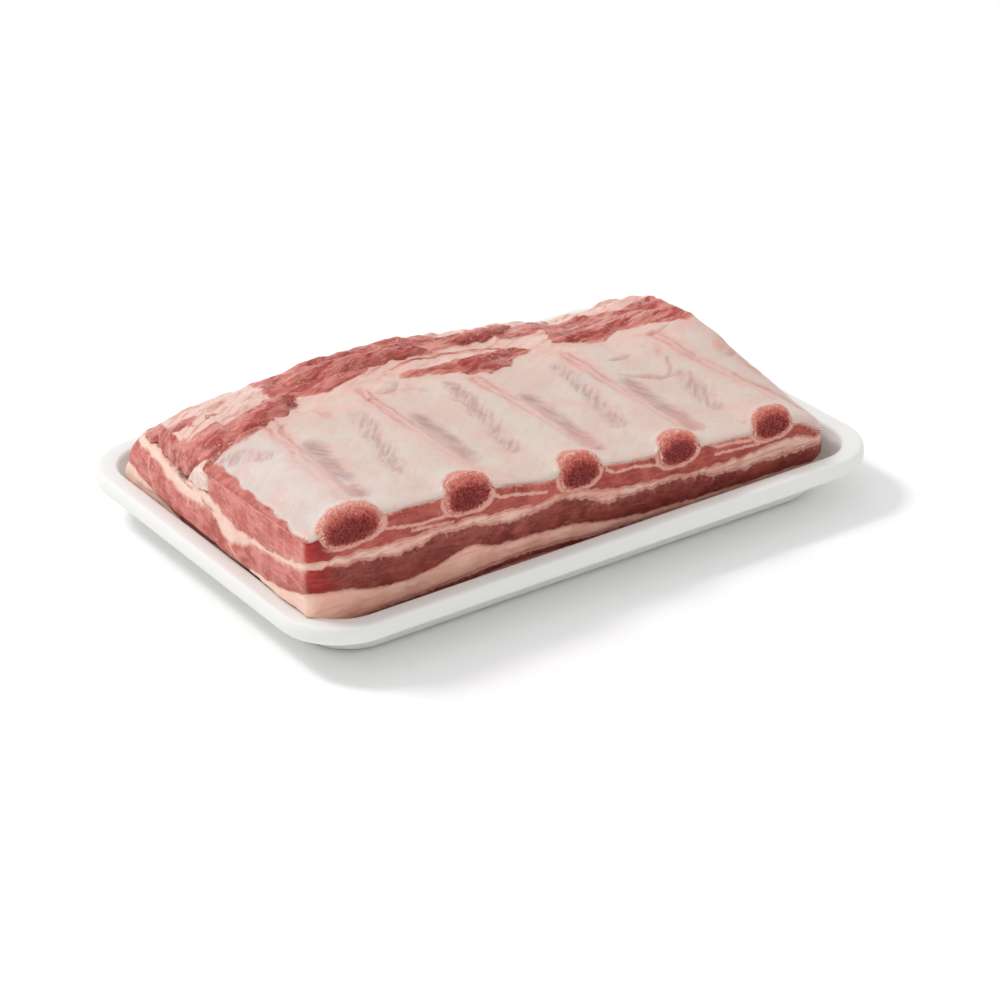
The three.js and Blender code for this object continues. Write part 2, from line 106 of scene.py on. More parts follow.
key_data = bpy.data.lights.new("key_from_behind", "AREA")
key_data.size = KEY_SIZE
key_data.energy = KEY_POWER
key = bpy.data.objects.new("key_from_behind", key_data)
key.location = KEY_PLACE
key.rotation_mode = "QUATERNION"
key.rotation_quaternion = (LIT_POINT - Vector(KEY_PLACE)).to_track_quat("-Z", "Y")
bpy.context.collection.objects.link(key)

floor_mesh = bpy.data.meshes.new("floor")
floor_mesh.from_pydata(
    [(x * FLOOR_HALF, y * FLOOR_HALF, -FLOOR_DROP) for x, y in ((-1, -1), (1, -1), (1, 1), (-1, 1))],
    [],
    [(0, 1, 2, 3)],
)
floor = bpy.data.objects.new("floor", floor_mesh)
bpy.context.collection.objects.link(floor)

# Painted white board: quite matt, so the shadows stay soft and even.
board = bpy.data.materials.new("painted_board")
board.use_nodes = True
connect(board.node_tree, board.node_tree.nodes["Principled BSDF"],
        {"Base Color": linear("#FAFAFA"), "Roughness": 0.9})
floor_mesh.materials.append(board)

# ---------------------------------------------------------------------------------------------
# Tray: shallow white tray of expanded polystyrene, pressed hot from sheet, so that it has a thick
# rounded rim, walls that slope in to a flat floor, and a faint grain of fine beads.
# ---------------------------------------------------------------------------------------------

MM = 0.001
TRAY_LENGTH = 207.0
TRAY_WIDTH = 140.0
TRAY_CORNER = 20.0
SMALLEST_CORNER = 15.0
CORNER_STEPS = 20
SIDE_STEPS = 30
SECTION_STEPS = 6
BEAD_SIZE, DENT_SIZE = 1.2, 9.0

# [inset from the outer edge, height]: from the underside, out round the lip and down inside.
TRAY_SECTION = np.array([
    [16, 0], [13.8, 0.8], [12, 3], [4.8, 11.3], [1.2, 11.5], [0.2, 12.4], [0, 14], [0.3, 16],
    [1.4, 17], [5.2, 17], [6.3, 16.3], [7.2, 14.2], [11.6, 5.4], [13.4, 4], [16, 3.5],
])


def make_piece(name, points, quads, triangles, values, sharp=55.0):
    """Mesh object from points in mm and faces, with named floats per point. It rides on the part."""
    mesh = bpy.data.meshes.new(name)
    corners = np.concatenate([quads.ravel(), triangles.ravel()]).astype(np.int32)
    sizes = np.repeat([4, 3], [len(quads), len(triangles)])
    mesh.vertices.add(len(points))
    mesh.vertices.foreach_set("co", (points * MM).astype(np.float32).ravel())
    mesh.loops.add(len(corners))
    mesh.loops.foreach_set("vertex_index", corners)
    mesh.polygons.add(len(sizes))
    mesh.polygons.foreach_set("loop_start", (np.cumsum(sizes) - sizes).astype(np.int32))
    mesh.update(calc_edges=True)
    mesh.validate()
    mesh.shade_smooth()
    mesh.set_sharp_from_angle(angle=math.radians(sharp))
    for label, numbers in values.items():
        mesh.attributes.new(label, "FLOAT", "POINT").data.foreach_set(
            "value", np.ascontiguousarray(numbers, np.float32).ravel())
    piece = bpy.data.objects.new(name, mesh)
    bpy.context.collection.objects.link(piece)
    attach(piece, "root")
    return piece


def ring_faces(rings, across, first=0):
    """Quads between neighbouring closed rings of a grid of rings by points, counted from first."""
    i, j = np.meshgrid(np.arange(rings - 1), np.arange(across), indexing="ij")
    near = first + i * across + j
    turn = first + i * across + (j + 1) % across
    return np.stack([near, turn, turn + across, near + across], axis=-1).reshape(-1, 4)


def pole_faces(pole, ring, across, outward):
    """Fan of triangles from a single pole point to a closed ring that starts at index ring."""
    j = np.arange(across)
    now, after = ring + j, ring + (j + 1) % across
    order = [after, now] if outward else [now, after]
    return np.stack([np.full(across, pole), *order], axis=-1)


def closed_rings(name, rings, values, sharp=55.0):
    """Closed piece from an array rings x points x 3. Both ends are shut at the ring's own centre."""
    count, across = rings.shape[:2]
    start, end = rings[0].mean(axis=0), rings[-1].mean(axis=0)
    points = np.concatenate([rings.reshape(-1, 3), start[None], end[None]])
    total = count * across
    fans = [pole_faces(total, 0, across, True), pole_faces(total + 1, total - across, across, False)]
    spread = {
        label: np.concatenate([numbers.ravel(), [numbers[0].mean(), numbers[-1].mean()]])
        for label, numbers in values.items()
    }
    return make_piece(name, points, ring_faces(count, across), np.concatenate(fans), spread, sharp)


def smooth_path(points, steps):
    """Catmull-Rom curve through points of any width, with the given steps in each span."""
    padded = np.concatenate([2 * points[:1] - points[1:2], points, 2 * points[-1:] - points[-2:-1]])
    t = np.arange(steps)[:, None] / steps
    spans = []
    for p, q, r, s in zip(padded[:-3], padded[1:-2], padded[2:-1], padded[3:]):
        turn = (2 * p - 5 * q + 4 * r - s) * t ** 2 + (3 * q - p - 3 * r + s) * t ** 3
        spans.append(q + ((r - p) * t + turn) / 2)
    return np.concatenate([*spans, points[-1:]])


def tray_rings(section):
    """Rounded rectangles, one per [inset, z]: quarter circles of CORNER_STEPS joined by straights."""
    inset, z = section.T
    radius = np.maximum(TRAY_CORNER - inset, SMALLEST_CORNER)
    far_x = TRAY_LENGTH / 2 - inset - radius
    far_y = TRAY_WIDTH / 2 - inset - radius
    parts = []
    for quarter, (sign_x, sign_y) in enumerate(((1, 1), (-1, 1), (-1, -1), (1, -1))):
        angle = (quarter + np.linspace(0, 1, CORNER_STEPS + 1)) * math.pi / 2
        x = sign_x * far_x[:, None] + radius[:, None] * np.cos(angle)
        y = sign_y * far_y[:, None] + radius[:, None] * np.sin(angle)
        corner = np.stack([x, y, np.broadcast_to(z[:, None], x.shape)], axis=-1)
        parts.append(corner)
    loop = []
    for corner, following in zip(parts, parts[1:] + parts[:1]):
        share = (np.arange(1, SIDE_STEPS) / SIDE_STEPS)[None, :, None]
        loop += [corner, corner[:, -1:] * (1 - share) + following[:, :1] * share]
    return np.concatenate(loop, axis=1)


tray = closed_rings("foam_tray", tray_rings(smooth_path(TRAY_SECTION, SECTION_STEPS)), {}, 70.0)
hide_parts("tray")


def start_material(name):
    """New node material with its tree, its shader and the piece's own coordinates in mm."""
    made = bpy.data.materials.new(name)
    made.use_nodes = True
    nodes = made.node_tree
    own = add(nodes, "TexCoord", output="Object")
    in_mm = add(nodes, "Mapping", {"Vector": own, "Scale": (1 / MM,) * 3})
    return made, nodes, nodes.nodes["Principled BSDF"], in_mm


# Expanded polystyrene: bright matt white, with beads about 1.2 mm across pressed into each other,
# which show as a faint net of shallow dents. A little light passes into it.
foam, nodes, shader, where = start_material("polystyrene_foam")
beads = add(nodes, "TexVoronoi", {"Vector": where, "Scale": 1 / BEAD_SIZE})
dents = add(nodes, "TexNoise", {"Vector": where, "Scale": 1 / DENT_SIZE})
height = add(nodes, "Math", (dents, 2.0, beads), operation="MULTIPLY_ADD")
bump = add(nodes, "Bump", {"Height": height, "Strength": 0.25, "Distance": 0.12 * MM})
connect(nodes, shader, {
    "Base Color": linear("#E5E5E2"), "Roughness": 0.55, "Normal": bump, "Subsurface Weight": 0.2,
    "Subsurface Radius": (1.0, 1.0, 1.0), "Subsurface Scale": 2 * MM,
})
tray.data.materials.append(foam)

# ---------------------------------------------------------------------------------------------
# Layers of the belly, from the skin side up: fat, a thin streak of lean, fat, the thick lean, and
# the pale seam under the ribs. They are one cut of meat, so each layer's edge is the next one's.
# ---------------------------------------------------------------------------------------------

SLAB_SHIFT = 1.5
LEFT, RIGHT, FRONT, BACK = -97.0, 88.0, -58.0, 53.0
LENGTH = RIGHT - LEFT
DEPTH = BACK - FRONT
CORNERS = {"front_left": 2.5, "front_right": 8.0, "back_left": 3.0, "back_right": 12.0}
ARC_MIDDLE = 1 - math.sqrt(0.5)
BASE = 3.8
DRAW_IN_BELOW, DRAW_IN, DRAW_IN_POWER, DRAW_IN_CORNER = 15.0, 8.0, 1.6, 10.0
BACK_LEAN = (12.0, 36.0)
RIGHT_LEAN = (17.0, 80.0)
LEFT_LEAN = (14.0, 28.0)
OVERHANG, OVERHANG_FROM, OVERHANG_FULL, OVERHANG_REACH = 3.5, 16.0, 18.0, 10
INSET_REACH = 4
LEFT_LEAN_REACH = 3
LEFT_LINE_FADE = 30.0
LOWER_LEAN_THICKNESS = 2.8
COVER_THICKNESS = 1.8

# Ribs as (place on the front face, drift per mm of depth, half width, height their ends stand up,
# how much wider the sawn end is, how much higher its foot lies).
RIBS = [
    (-84.4, 0.053, 8.8, 2.4, 1.04, 2.6),
    (-46.6, 0.03, 8.6, 2.6, 0.93, 1.5),
    (-7.2, -0.02, 8.3, 2.7, 0.88, 0.3),
    (29.6, -0.04, 8.5, 3.0, 0.86, 3.0),
    (66.4, -0.05, 7.9, 4.2, 0.96, 1.5),
]
RIB_BACK_TAPER = 0.72
RIB_END_LENGTH = 7.0
RIDGE_HEIGHT, RIDGE_ENDS, RIDGE_FADE = 0.9, 12.0, 20.0
HUMP_POWER = 0.7
TOP_EDGE_REACH = 3

LOWER_LEAN_TOP = (
    [(-97, 12.4), (-60, 13.8), (-28, 15.6), (10, 12.6), (88, 10)],
    [(-58, 12.4), (-52, 15.5), (-46, 17), (-30, 16.4), (-12, 13.2), (0, 11.8), (53, 12.8)],
)
BELLY_FAT_TOP = (
    [(-97, 24.8), (-88, 23), (-77, 20.2), (-67, 19.3), (-58, 20.2), (-46, 23.3), (-38, 21),
     (-12, 19.2), (2, 16.8), (14, 15), (88, 12.6)],
    [(-58, 24.8), (-48, 21.6), (-30, 18.8), (-12, 16.3), (5, 14.2), (20, 14.6), (31, 17), (53, 21)],
)
BELLY_LEAN_TOP = (
    [(-97, 32.2), (-88, 31.2), (-67, 29.1), (-57, 30.6), (-47, 30), (-28, 27), (-14, 28.8),
     (6, 22.8), (29, 23), (48, 19.7), (88, 18.4)],
    [(-58, 32.2), (-48, 30), (-30, 27.4), (-12, 21.8), (-1, 27), (8, 25.4), (20, 25), (38, 27.4),
     (53, 27.6)],
)
RIB_FAT_TOP = (
    [(-97, 34.2), (-75, 32.6), (-50, 32.2), (-27, 30), (-11, 29.9), (10, 25.6), (40, 23.3),
     (56, 22.8), (72, 23.8), (88, 20.2)],
    [(-58, 34.2), (-48, 31.6), (-30, 28.6), (-17, 28), (-1, 31.2), (8, 30), (20, 29.2), (38, 30),
     (53, 29.6)],
)
TOP_FRONT = [(-97, 42), (-90, 43.2), (-77, 44.2), (-64, 43.6), (-37, 41), (-23, 38.4), (0, 36.8),
             (17, 34.6), (37, 32.8), (55, 31.2), (74, 30.3), (88, 23)]
TOP_BACK = [(-97, 28), (-87, 34), (-70, 37), (-56, 38), (-38, 41.3), (-16, 41.3), (0, 39),
            (25, 34.6), (41, 32), (57, 27.5), (77, 26.5), (88, 30)]
TOP_LEFT = [(-58, 42), (-46, 42.4), (-30, 41.4), (-15, 40.4), (0, 39), (20, 37.6), (36, 34.8),
            (53, 28)]
TOP_RIGHT = [(-58, 23), (-45, 25.2), (-31, 28.3), (-12, 32.8), (-2, 36.2), (14, 37.6), (35, 36),
             (53, 30)]


def mix(low, high, share):
    """Value at a share of the way from low to high."""
    return low + (high - low) * share


def curve_through(points):
    """Function of position: the smooth curve through (position, height) that never overshoots."""
    at, height = np.array(points, float).T
    slope = np.diff(height) / np.diff(at)
    before = np.concatenate([slope[:1], slope])
    after = np.concatenate([slope, slope[-1:]])
    product = before * after
    tangent = np.where(product > 0, 2 * product / np.where(product > 0, before + after, 1), 0)

    def value(position):
        x = np.clip(position, at[0], at[-1])
        i = np.clip(np.searchsorted(at, x, side="right") - 1, 0, len(at) - 2)
        span = at[i + 1] - at[i]
        t = (x - at[i]) / span
        turns = t * (1 - t) ** 2 * span * tangent[i] - t * t * (1 - t) * span * tangent[i + 1]
        return mix(height[i], height[i + 1], t * t * (3 - 2 * t)) + turns

    return value


def ripple(x, y, z, size, seed, waves=14):
    """Uneven swell from -1 to 1: the mean of plane sine waves about size mm long, in all directions."""
    draw = np.random.default_rng(seed)
    total = 0.0
    for _ in range(waves):
        way = draw.normal(size=3)
        way *= 2 * math.pi / (size * draw.uniform(0.7, 1.4) * np.linalg.norm(way))
        total = total + np.sin(way[0] * x + way[1] * y + way[2] * z + draw.uniform(0, 2 * math.pi))
    return total * math.sqrt(2 / waves) / 2


def corner_inset(distance, radius):
    """How far a quarter circle of this radius has drawn a face in, this far from the corner."""
    short = np.clip(radius - distance, 0, radius)
    return radius - np.sqrt(radius * radius - short ** 2)


def below_rim(z):
    """How far below the tray's rim a height is: 0 at the rim, 1 at the slab's flat base."""
    return np.clip((DRAW_IN_BELOW - z) / (DRAW_IN_BELOW - BASE), 0, 1)


def lean_inset(z, lean):
    """Inset of a face that leans in along an arc of a radius above a height."""
    above, radius = lean
    return np.maximum(z - above, 0) ** 2 / (2 * radius)


def smooth_step(share):
    """Share from 0 to 1 with soft ends."""
    t = np.clip(share, 0, 1)
    return t * t * (3 - 2 * t)


def left_overhang(along, depth, z):
    """How far the near end of the left face hangs over the tray's rim, at a height."""
    out = smooth_step((z - OVERHANG_FROM) / (OVERHANG_FULL - OVERHANG_FROM))
    return OVERHANG * out * (1 - depth) * (1 - along) ** OVERHANG_REACH


def slab_point(along, depth, z):
    """Place in mm of a share of the slab's length and depth at height z: a box with round upright
    corners, drawn in below the rim and leaning in above it."""
    rounder = DRAW_IN_CORNER * np.sqrt(below_rim(z))
    front_left, back_left = CORNERS["front_left"] + rounder, CORNERS["back_left"] + rounder
    front_right, back_right = CORNERS["front_right"], CORNERS["back_right"]
    y_left = mix(FRONT + ARC_MIDDLE * front_left, BACK - ARC_MIDDLE * back_left, depth)
    y_right = mix(FRONT + ARC_MIDDLE * front_right, BACK - ARC_MIDDLE * back_right, depth)
    x_front = mix(LEFT + ARC_MIDDLE * front_left, RIGHT - ARC_MIDDLE * front_right, along)
    x_back = mix(LEFT + ARC_MIDDLE * back_left, RIGHT - ARC_MIDDLE * back_right, along)
    left_x = LEFT + corner_inset(y_left - FRONT, front_left) + corner_inset(BACK - y_left, back_left)
    right_x = RIGHT - corner_inset(y_right - FRONT, front_right) - corner_inset(BACK - y_right, back_right)
    front_y = FRONT + corner_inset(x_front - LEFT, front_left) + corner_inset(RIGHT - x_front, front_right)
    back_y = BACK - corner_inset(x_back - LEFT, back_left) - corner_inset(RIGHT - x_back, back_right)
    base = DRAW_IN * below_rim(z) ** DRAW_IN_POWER
    left_in = base + lean_inset(z, LEFT_LEAN) * depth ** LEFT_LEAN_REACH
    right_in = base + lean_inset(z, RIGHT_LEAN)
    back_in = base + lean_inset(z, BACK_LEAN)
    x = mix(left_x, right_x, along) + left_in * (1 - along) ** INSET_REACH - right_in * along ** INSET_REACH
    x = x - left_overhang(along, depth, z)
    y = mix(front_y, back_y, depth) + base * (1 - depth) ** INSET_REACH - back_in * depth ** INSET_REACH
    return np.stack([x + SLAB_SHIFT, y, z + 0 * x], axis=-1)


def border(lines, ragged, seed):
    """Height of a border between two layers: its front line, near the left face its left line, and
    a fine uneven edge of the given height."""
    front, left = curve_through(lines[0]), curve_through(lines[1])

    def height(along, depth):
        x, y = mix(LEFT, RIGHT, along), mix(FRONT, BACK, depth)
        smooth = front(x) + (left(y) - left(FRONT)) * np.exp((LEFT - x) / LEFT_LINE_FADE)
        uneven = 0.6 * ripple(x, y, 0 * x, 6.0, seed) + 0.5 * ripple(x, y, 0 * x, 2.4, seed + 1)
        return smooth + ragged * uneven

    return height


def rib_along(rib, depth):
    """Share of the slab's length at which a rib's middle runs, at a share of the depth."""
    return (rib[0] + rib[1] * depth * DEPTH - LEFT) / LENGTH


top_lines = [curve_through(line) for line in (TOP_FRONT, TOP_BACK, TOP_LEFT, TOP_RIGHT)]


def slab_top(along, depth):
    """Height of the slab's top: its four edge lines blended, with a hump over each rib that stands
    up at the cut end and fades towards the back."""
    front, back, left, right = top_lines
    x, y = mix(LEFT, RIGHT, along), mix(FRONT, BACK, depth)
    z = mix(front(x), back(x), depth)
    z = z + (left(y) - mix(front(LEFT), back(LEFT), depth)) * (1 - along) ** TOP_EDGE_REACH
    z = z + (right(y) - mix(front(RIGHT), back(RIGHT), depth)) * along ** TOP_EDGE_REACH
    for rib in RIBS:
        off = (along - rib_along(rib, depth)) * LENGTH / rib[2]
        end = rib[3] * np.exp(-(((y - FRONT) / RIB_END_LENGTH) ** 2))
        ridge = RIDGE_HEIGHT * np.clip((RIDGE_ENDS - y) / RIDGE_FADE, 0, 1)
        z = z + (end + ridge) * np.maximum(1 - off ** 2, 0) ** HUMP_POWER
    return z


lower_lean_top = border(LOWER_LEAN_TOP, 0.3, 11)
belly_fat_top = border(BELLY_FAT_TOP, 0.3, 13)
belly_lean_top = border(BELLY_LEAN_TOP, 0.7, 15)
rib_fat_top = border(RIB_FAT_TOP, 0.8, 17)


def lower_lean_bottom(along, depth):
    """Underside of the thin streak of lean."""
    return lower_lean_top(along, depth) - LOWER_LEAN_THICKNESS


def flat_base(along, depth):
    """The slab's flat base, just above the tray's floor."""
    return BASE + 0 * along * depth


def cover_underside(along, depth):
    """Underside of the membrane and fat over the ribs."""
    return slab_top(along, depth) - COVER_THICKNESS


MESH_STEP = 0.52
CELLS_ALONG = round(LENGTH / MESH_STEP)
CELLS_DEPTH = round(DEPTH / MESH_STEP)
share_along = np.linspace(0, 1, CELLS_ALONG + 1)
share_depth = np.linspace(0, 1, CELLS_DEPTH + 1)
# The rim runs anticlockwise seen from above, from the near left corner: front, right, back, left.
rim_along = np.concatenate([
    share_along[:-1], np.ones(CELLS_DEPTH), share_along[:0:-1], np.zeros(CELLS_DEPTH),
])
rim_depth = np.concatenate([
    np.zeros(CELLS_ALONG), share_depth[:-1], np.ones(CELLS_ALONG), share_depth[:0:-1],
])
CAP_SHARES = np.array([0.02, 0.06, 0.15, 0.3, 0.55, 0.8])
FACE_SWELL, FACE_DENTS, FACE_GRAIN = 0.32, 0.16, 0.07
BORDER_CREASE, CREASE_WIDTH = 0.22, 0.5

# On the left face, as paths of (y, z): thin lines of fat through the lean, and the cracks under the flank
# piece, which are darkened with painted shade.
LEFT_VEINS = [
    [(39, 29), (37, 24), (33, 19), (28, 16.5)],
    [(-11, 25), (-15, 21), (-21, 18)],
    [(-13, 25), (-13.5, 21)],
    [(12, 28), (11, 25), (10.5, 23)],
]
LEFT_CRACKS = [
    [(21, 29.6), (13, 28.4), (9, 28.8)],
    [(3, 28.6), (-1, 27.6), (-4, 27.4)],
]


def path_distance(x, y, path):
    """Distance in mm from each point to a path of straight spans."""
    least = np.full(np.shape(x), 1e9)
    for (ax, ay), (bx, by) in zip(path[:-1], path[1:]):
        dx, dy = bx - ax, by - ay
        t = np.clip(((x - ax) * dx + (y - ay) * dy) / (dx * dx + dy * dy), 0, 1)
        least = np.minimum(least, np.hypot(x - ax - t * dx, y - ay - t * dy))
    return least


def outward(points):
    """Level outward direction at each point of closed rings that run anticlockwise."""
    run = np.roll(points, -1, axis=1) - np.roll(points, 1, axis=1)
    side = np.stack([run[..., 1], -run[..., 0]], axis=-1)
    return side / np.linalg.norm(side, axis=-1, keepdims=True)


def face_relief(points):
    """Unevenness of the cut faces in mm: a wide swell, dents of some mm and a fine grain."""
    x, y, z = np.moveaxis(points, -1, 0)
    swell = FACE_SWELL * ripple(x, y, z, 21.0, 31)
    return swell + FACE_DENTS * ripple(x, y, z, 6.0, 32) + FACE_GRAIN * ripple(x, y, z, 2.2, 33)


def layer_rings(bottom, top, rows, bulge, left_edge=None):
    """Closed rings of a layer: out over its underside, up the cut faces and in over its top, with
    each point's height above the bottom border and below the top one, and its share of the length.
    left_edge moves the left end in, as a share of the length for each share of the depth."""
    steps = [(inward, 0.0) for inward in CAP_SHARES[::-1]]
    steps += [(0.0, up) for up in np.linspace(0, 1, rows + 1)]
    steps += [(inward, 1.0) for inward in CAP_SHARES]
    rings, above, below, shares = [], [], [], []
    for inward, up in steps:
        depth = mix(rim_depth, 0.5, inward)
        start = left_edge(depth) if left_edge else 0.0
        along = mix(start, 1.0, mix(rim_along, 0.5, inward))
        low, high = bottom(along, depth), top(along, depth)
        points = slab_point(along, depth, mix(low, high, up))
        shares.append(along)
        above.append(up * (high - low))
        below.append((1 - up) * (high - low))
        if inward == 0.0:
            crease = BORDER_CREASE * np.exp(-np.minimum(above[-1], below[-1]) / CREASE_WIDTH)
            push = face_relief(points) - crease + bulge * 4 * up * (1 - up)
            points[:, :2] += outward(points[None])[0] * push[:, None]
        rings.append(points)
    return np.stack(rings), np.stack(above), np.stack(below), np.stack(shares)


def face_values(rings, above, below):
    """Numbers that the colours read: how much the face is turned to the light, for painted light and shade,
    the distance to the borders, to the nearest vein and crack, and how near the bloody front corner is."""
    side = outward(rings)
    x, y, z = np.moveaxis(rings, -1, 0)
    on_left = (x < LEFT + SLAB_SHIFT + 3) & (side[..., 0] < -0.6)
    vein = np.min([path_distance(y, z, path) for path in LEFT_VEINS], axis=0)
    crack = np.min([path_distance(y, z, path) for path in LEFT_CRACKS], axis=0)
    from_corner = np.maximum(x - LEFT - SLAB_SHIFT + OVERHANG - 1, 0) / 7.0
    return {
        # Painted light and shade: 1 on faces turned left to the light, 0.5 on back faces, 0 on the shaded
        # front.
        "lit_side": np.clip(-side[..., 0], 0, 1) + 0.5 * np.clip(side[..., 1], 0, 1),
        "above": above,
        "below": below,
        "vein": np.where(on_left, vein, 9.0),
        "crack": np.where(on_left, crack, 9.0),
        "blood": np.exp(-(from_corner ** 2)) * np.clip(-side[..., 1], 0, 1) ** 2,
    }


# Each layer's solid, its lower and upper border, rows up the cut faces, bulge and slot.
LAYERS = [
    ("skin_fat", flat_base, lower_lean_bottom, 10, 0.0, "fat"),
    ("lower_lean", lower_lean_bottom, lower_lean_top, 6, 0.1, "dark_lean"),
    ("belly_fat", lower_lean_top, belly_fat_top, 14, 0.1, "fat"),
    ("belly_lean", belly_fat_top, belly_lean_top, 22, 0.35, "dark_lean"),
    ("rib_fat", belly_lean_top, rib_fat_top, 8, 0.0, "fat"),
]
layers = {}
for node, bottom, top, rows, bulge, slot in LAYERS:
    rings, above, below, _ = layer_rings(bottom, top, rows, bulge)
    layers[node] = closed_rings("layer_" + node, rings, face_values(rings, above, below))
    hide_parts(node)

SOFT = {"interpolation_type": "SMOOTHSTEP"}


def point_values(nodes, *labels):
    """Sockets of the numbers with these names that are stored on a piece's points."""
    return [add(nodes, "Attribute", output="Fac", attribute_name=label) for label in labels]


def speckle(nodes, where, size, stretch=(1, 1, 1), turn=0.0, detail=3.0, warp=0.0):
    """Uneven value with patches about size mm, drawn out by stretch along axes turned about Z."""
    laid = add(nodes, "Mapping", {"Vector": where, "Rotation": (0, 0, turn), "Scale": stretch},
               vector_type="TEXTURE")
    return add(nodes, "TexNoise", {
        "Vector": laid, "Scale": 1 / size, "Detail": detail, "Distortion": warp})


def patches(nodes, low, high, *speckled):
    """Share from 0 to 1, with soft edges, as a speckle goes from low to high."""
    return add(nodes, "MapRange", (speckle(nodes, *speckled), low, high), **SOFT)


def fading(nodes, value, low, high, start=1.0):
    """Share that falls softly by 1 from its start, as a value goes from low to high."""
    gone = add(nodes, "MapRange", (value, low, high), **SOFT)
    return add(nodes, "Math", (start, gone), operation="SUBTRACT")


def frayed(nodes, value, pattern, amount):
    """A value made uneven: half the amount up or down, as a pattern goes from 0 to 1."""
    uneven = add(nodes, "Math", (pattern, amount, -amount / 2), operation="MULTIPLY_ADD")
    return add(nodes, "Math", (value, uneven), operation="ADD")


def glaze(nodes, under, over, share, strength=None):
    """Colour that goes from under to over by a share, which a strength may weaken. Both are hex
    codes or sockets."""
    if strength is not None:
        share = add(nodes, "Math", (share, strength), operation="MULTIPLY")
    colours = [linear(colour) if isinstance(colour, str) else colour for colour in (under, over)]
    return add(nodes, "Mix", (share, *colours), data_type="RGBA")


def moist(nodes, shader, colour, roughness, height, depth_mm, bleed_mm):
    """Finishes a moist meat shader: colour, gloss, relief of a depth, and light that bleeds in."""
    relief = add(nodes, "Bump", {"Height": height, "Distance": depth_mm * MM, "Strength": 1.0})
    connect(nodes, shader, {
        "Base Color": colour, "Roughness": roughness, "Normal": relief, "IOR": 1.4,
        "Specular IOR Level": 0.4, "Subsurface Weight": 0.25,
        "Subsurface Radius": (1.0, 0.35, 0.25), "Subsurface Scale": bleed_mm * MM,
    })


def near_border(nodes, where, reach):
    """Share that is 1 at a layer's upper and lower border and frays out within a reach in mm."""
    edge = add(nodes, "Math", point_values(nodes, "above", "below"), operation="MINIMUM")
    return fading(nodes, frayed(nodes, edge, speckle(nodes, where, 1.5), 1.5), 0.0, reach)


def fat_material(name, pale, warm, streak, streaks, brink):
    """Cut pork fat: waxy and pale, with streaks that lie level, like the layers, a pinker fringe where it
    meets lean, painted light that makes it creamier on the faces turned to the light, and painted shade in
    the cracks under the flank piece."""
    made, nodes, shader, where = start_material(name)
    lit_side, crack = point_values(nodes, "lit_side", "crack")
    level = speckle(nodes, where, 0.8, (11, 11, 0.8), 0.0, 4.0, 0.8)
    colour = glaze(nodes, pale, warm, patches(nodes, 0.3, 0.7, where, 8.0))
    lines = add(nodes, "MapRange", (level, 0.52, 0.64), **SOFT)
    colour = glaze(nodes, colour, streak, lines, streaks)
    colour = glaze(nodes, colour, "#BE6C60", near_border(nodes, where, 1.0), brink)
    # Painted light: the fat is creamier on the faces turned to the light.
    colour = glaze(nodes, colour, "#F3DACA", lit_side, 0.5)
    # Painted shade in the cracks under the flank piece, which the relief also sinks.
    dark = fading(nodes, frayed(nodes, crack, speckle(nodes, where, 1.6), 1.6), -0.2, 0.7)
    dark = add(nodes, "Math", (dark, 0.7), operation="MULTIPLY")
    colour = glaze(nodes, colour, "#83584F", dark)
    gloss = patches(nodes, 0.2, 0.9, where, 3.0)
    roughness = add(nodes, "Math", (gloss, 0.2, 0.36), operation="MULTIPLY_ADD")
    raised = add(nodes, "Math", (level, speckle(nodes, where, 1.4)), operation="ADD")
    sunk = add(nodes, "Math", (dark, 3.0), operation="MULTIPLY")
    height = add(nodes, "Math", (raised, sunk), operation="SUBTRACT")
    moist(nodes, shader, colour, roughness, height, 0.12, 1.2)
    return made


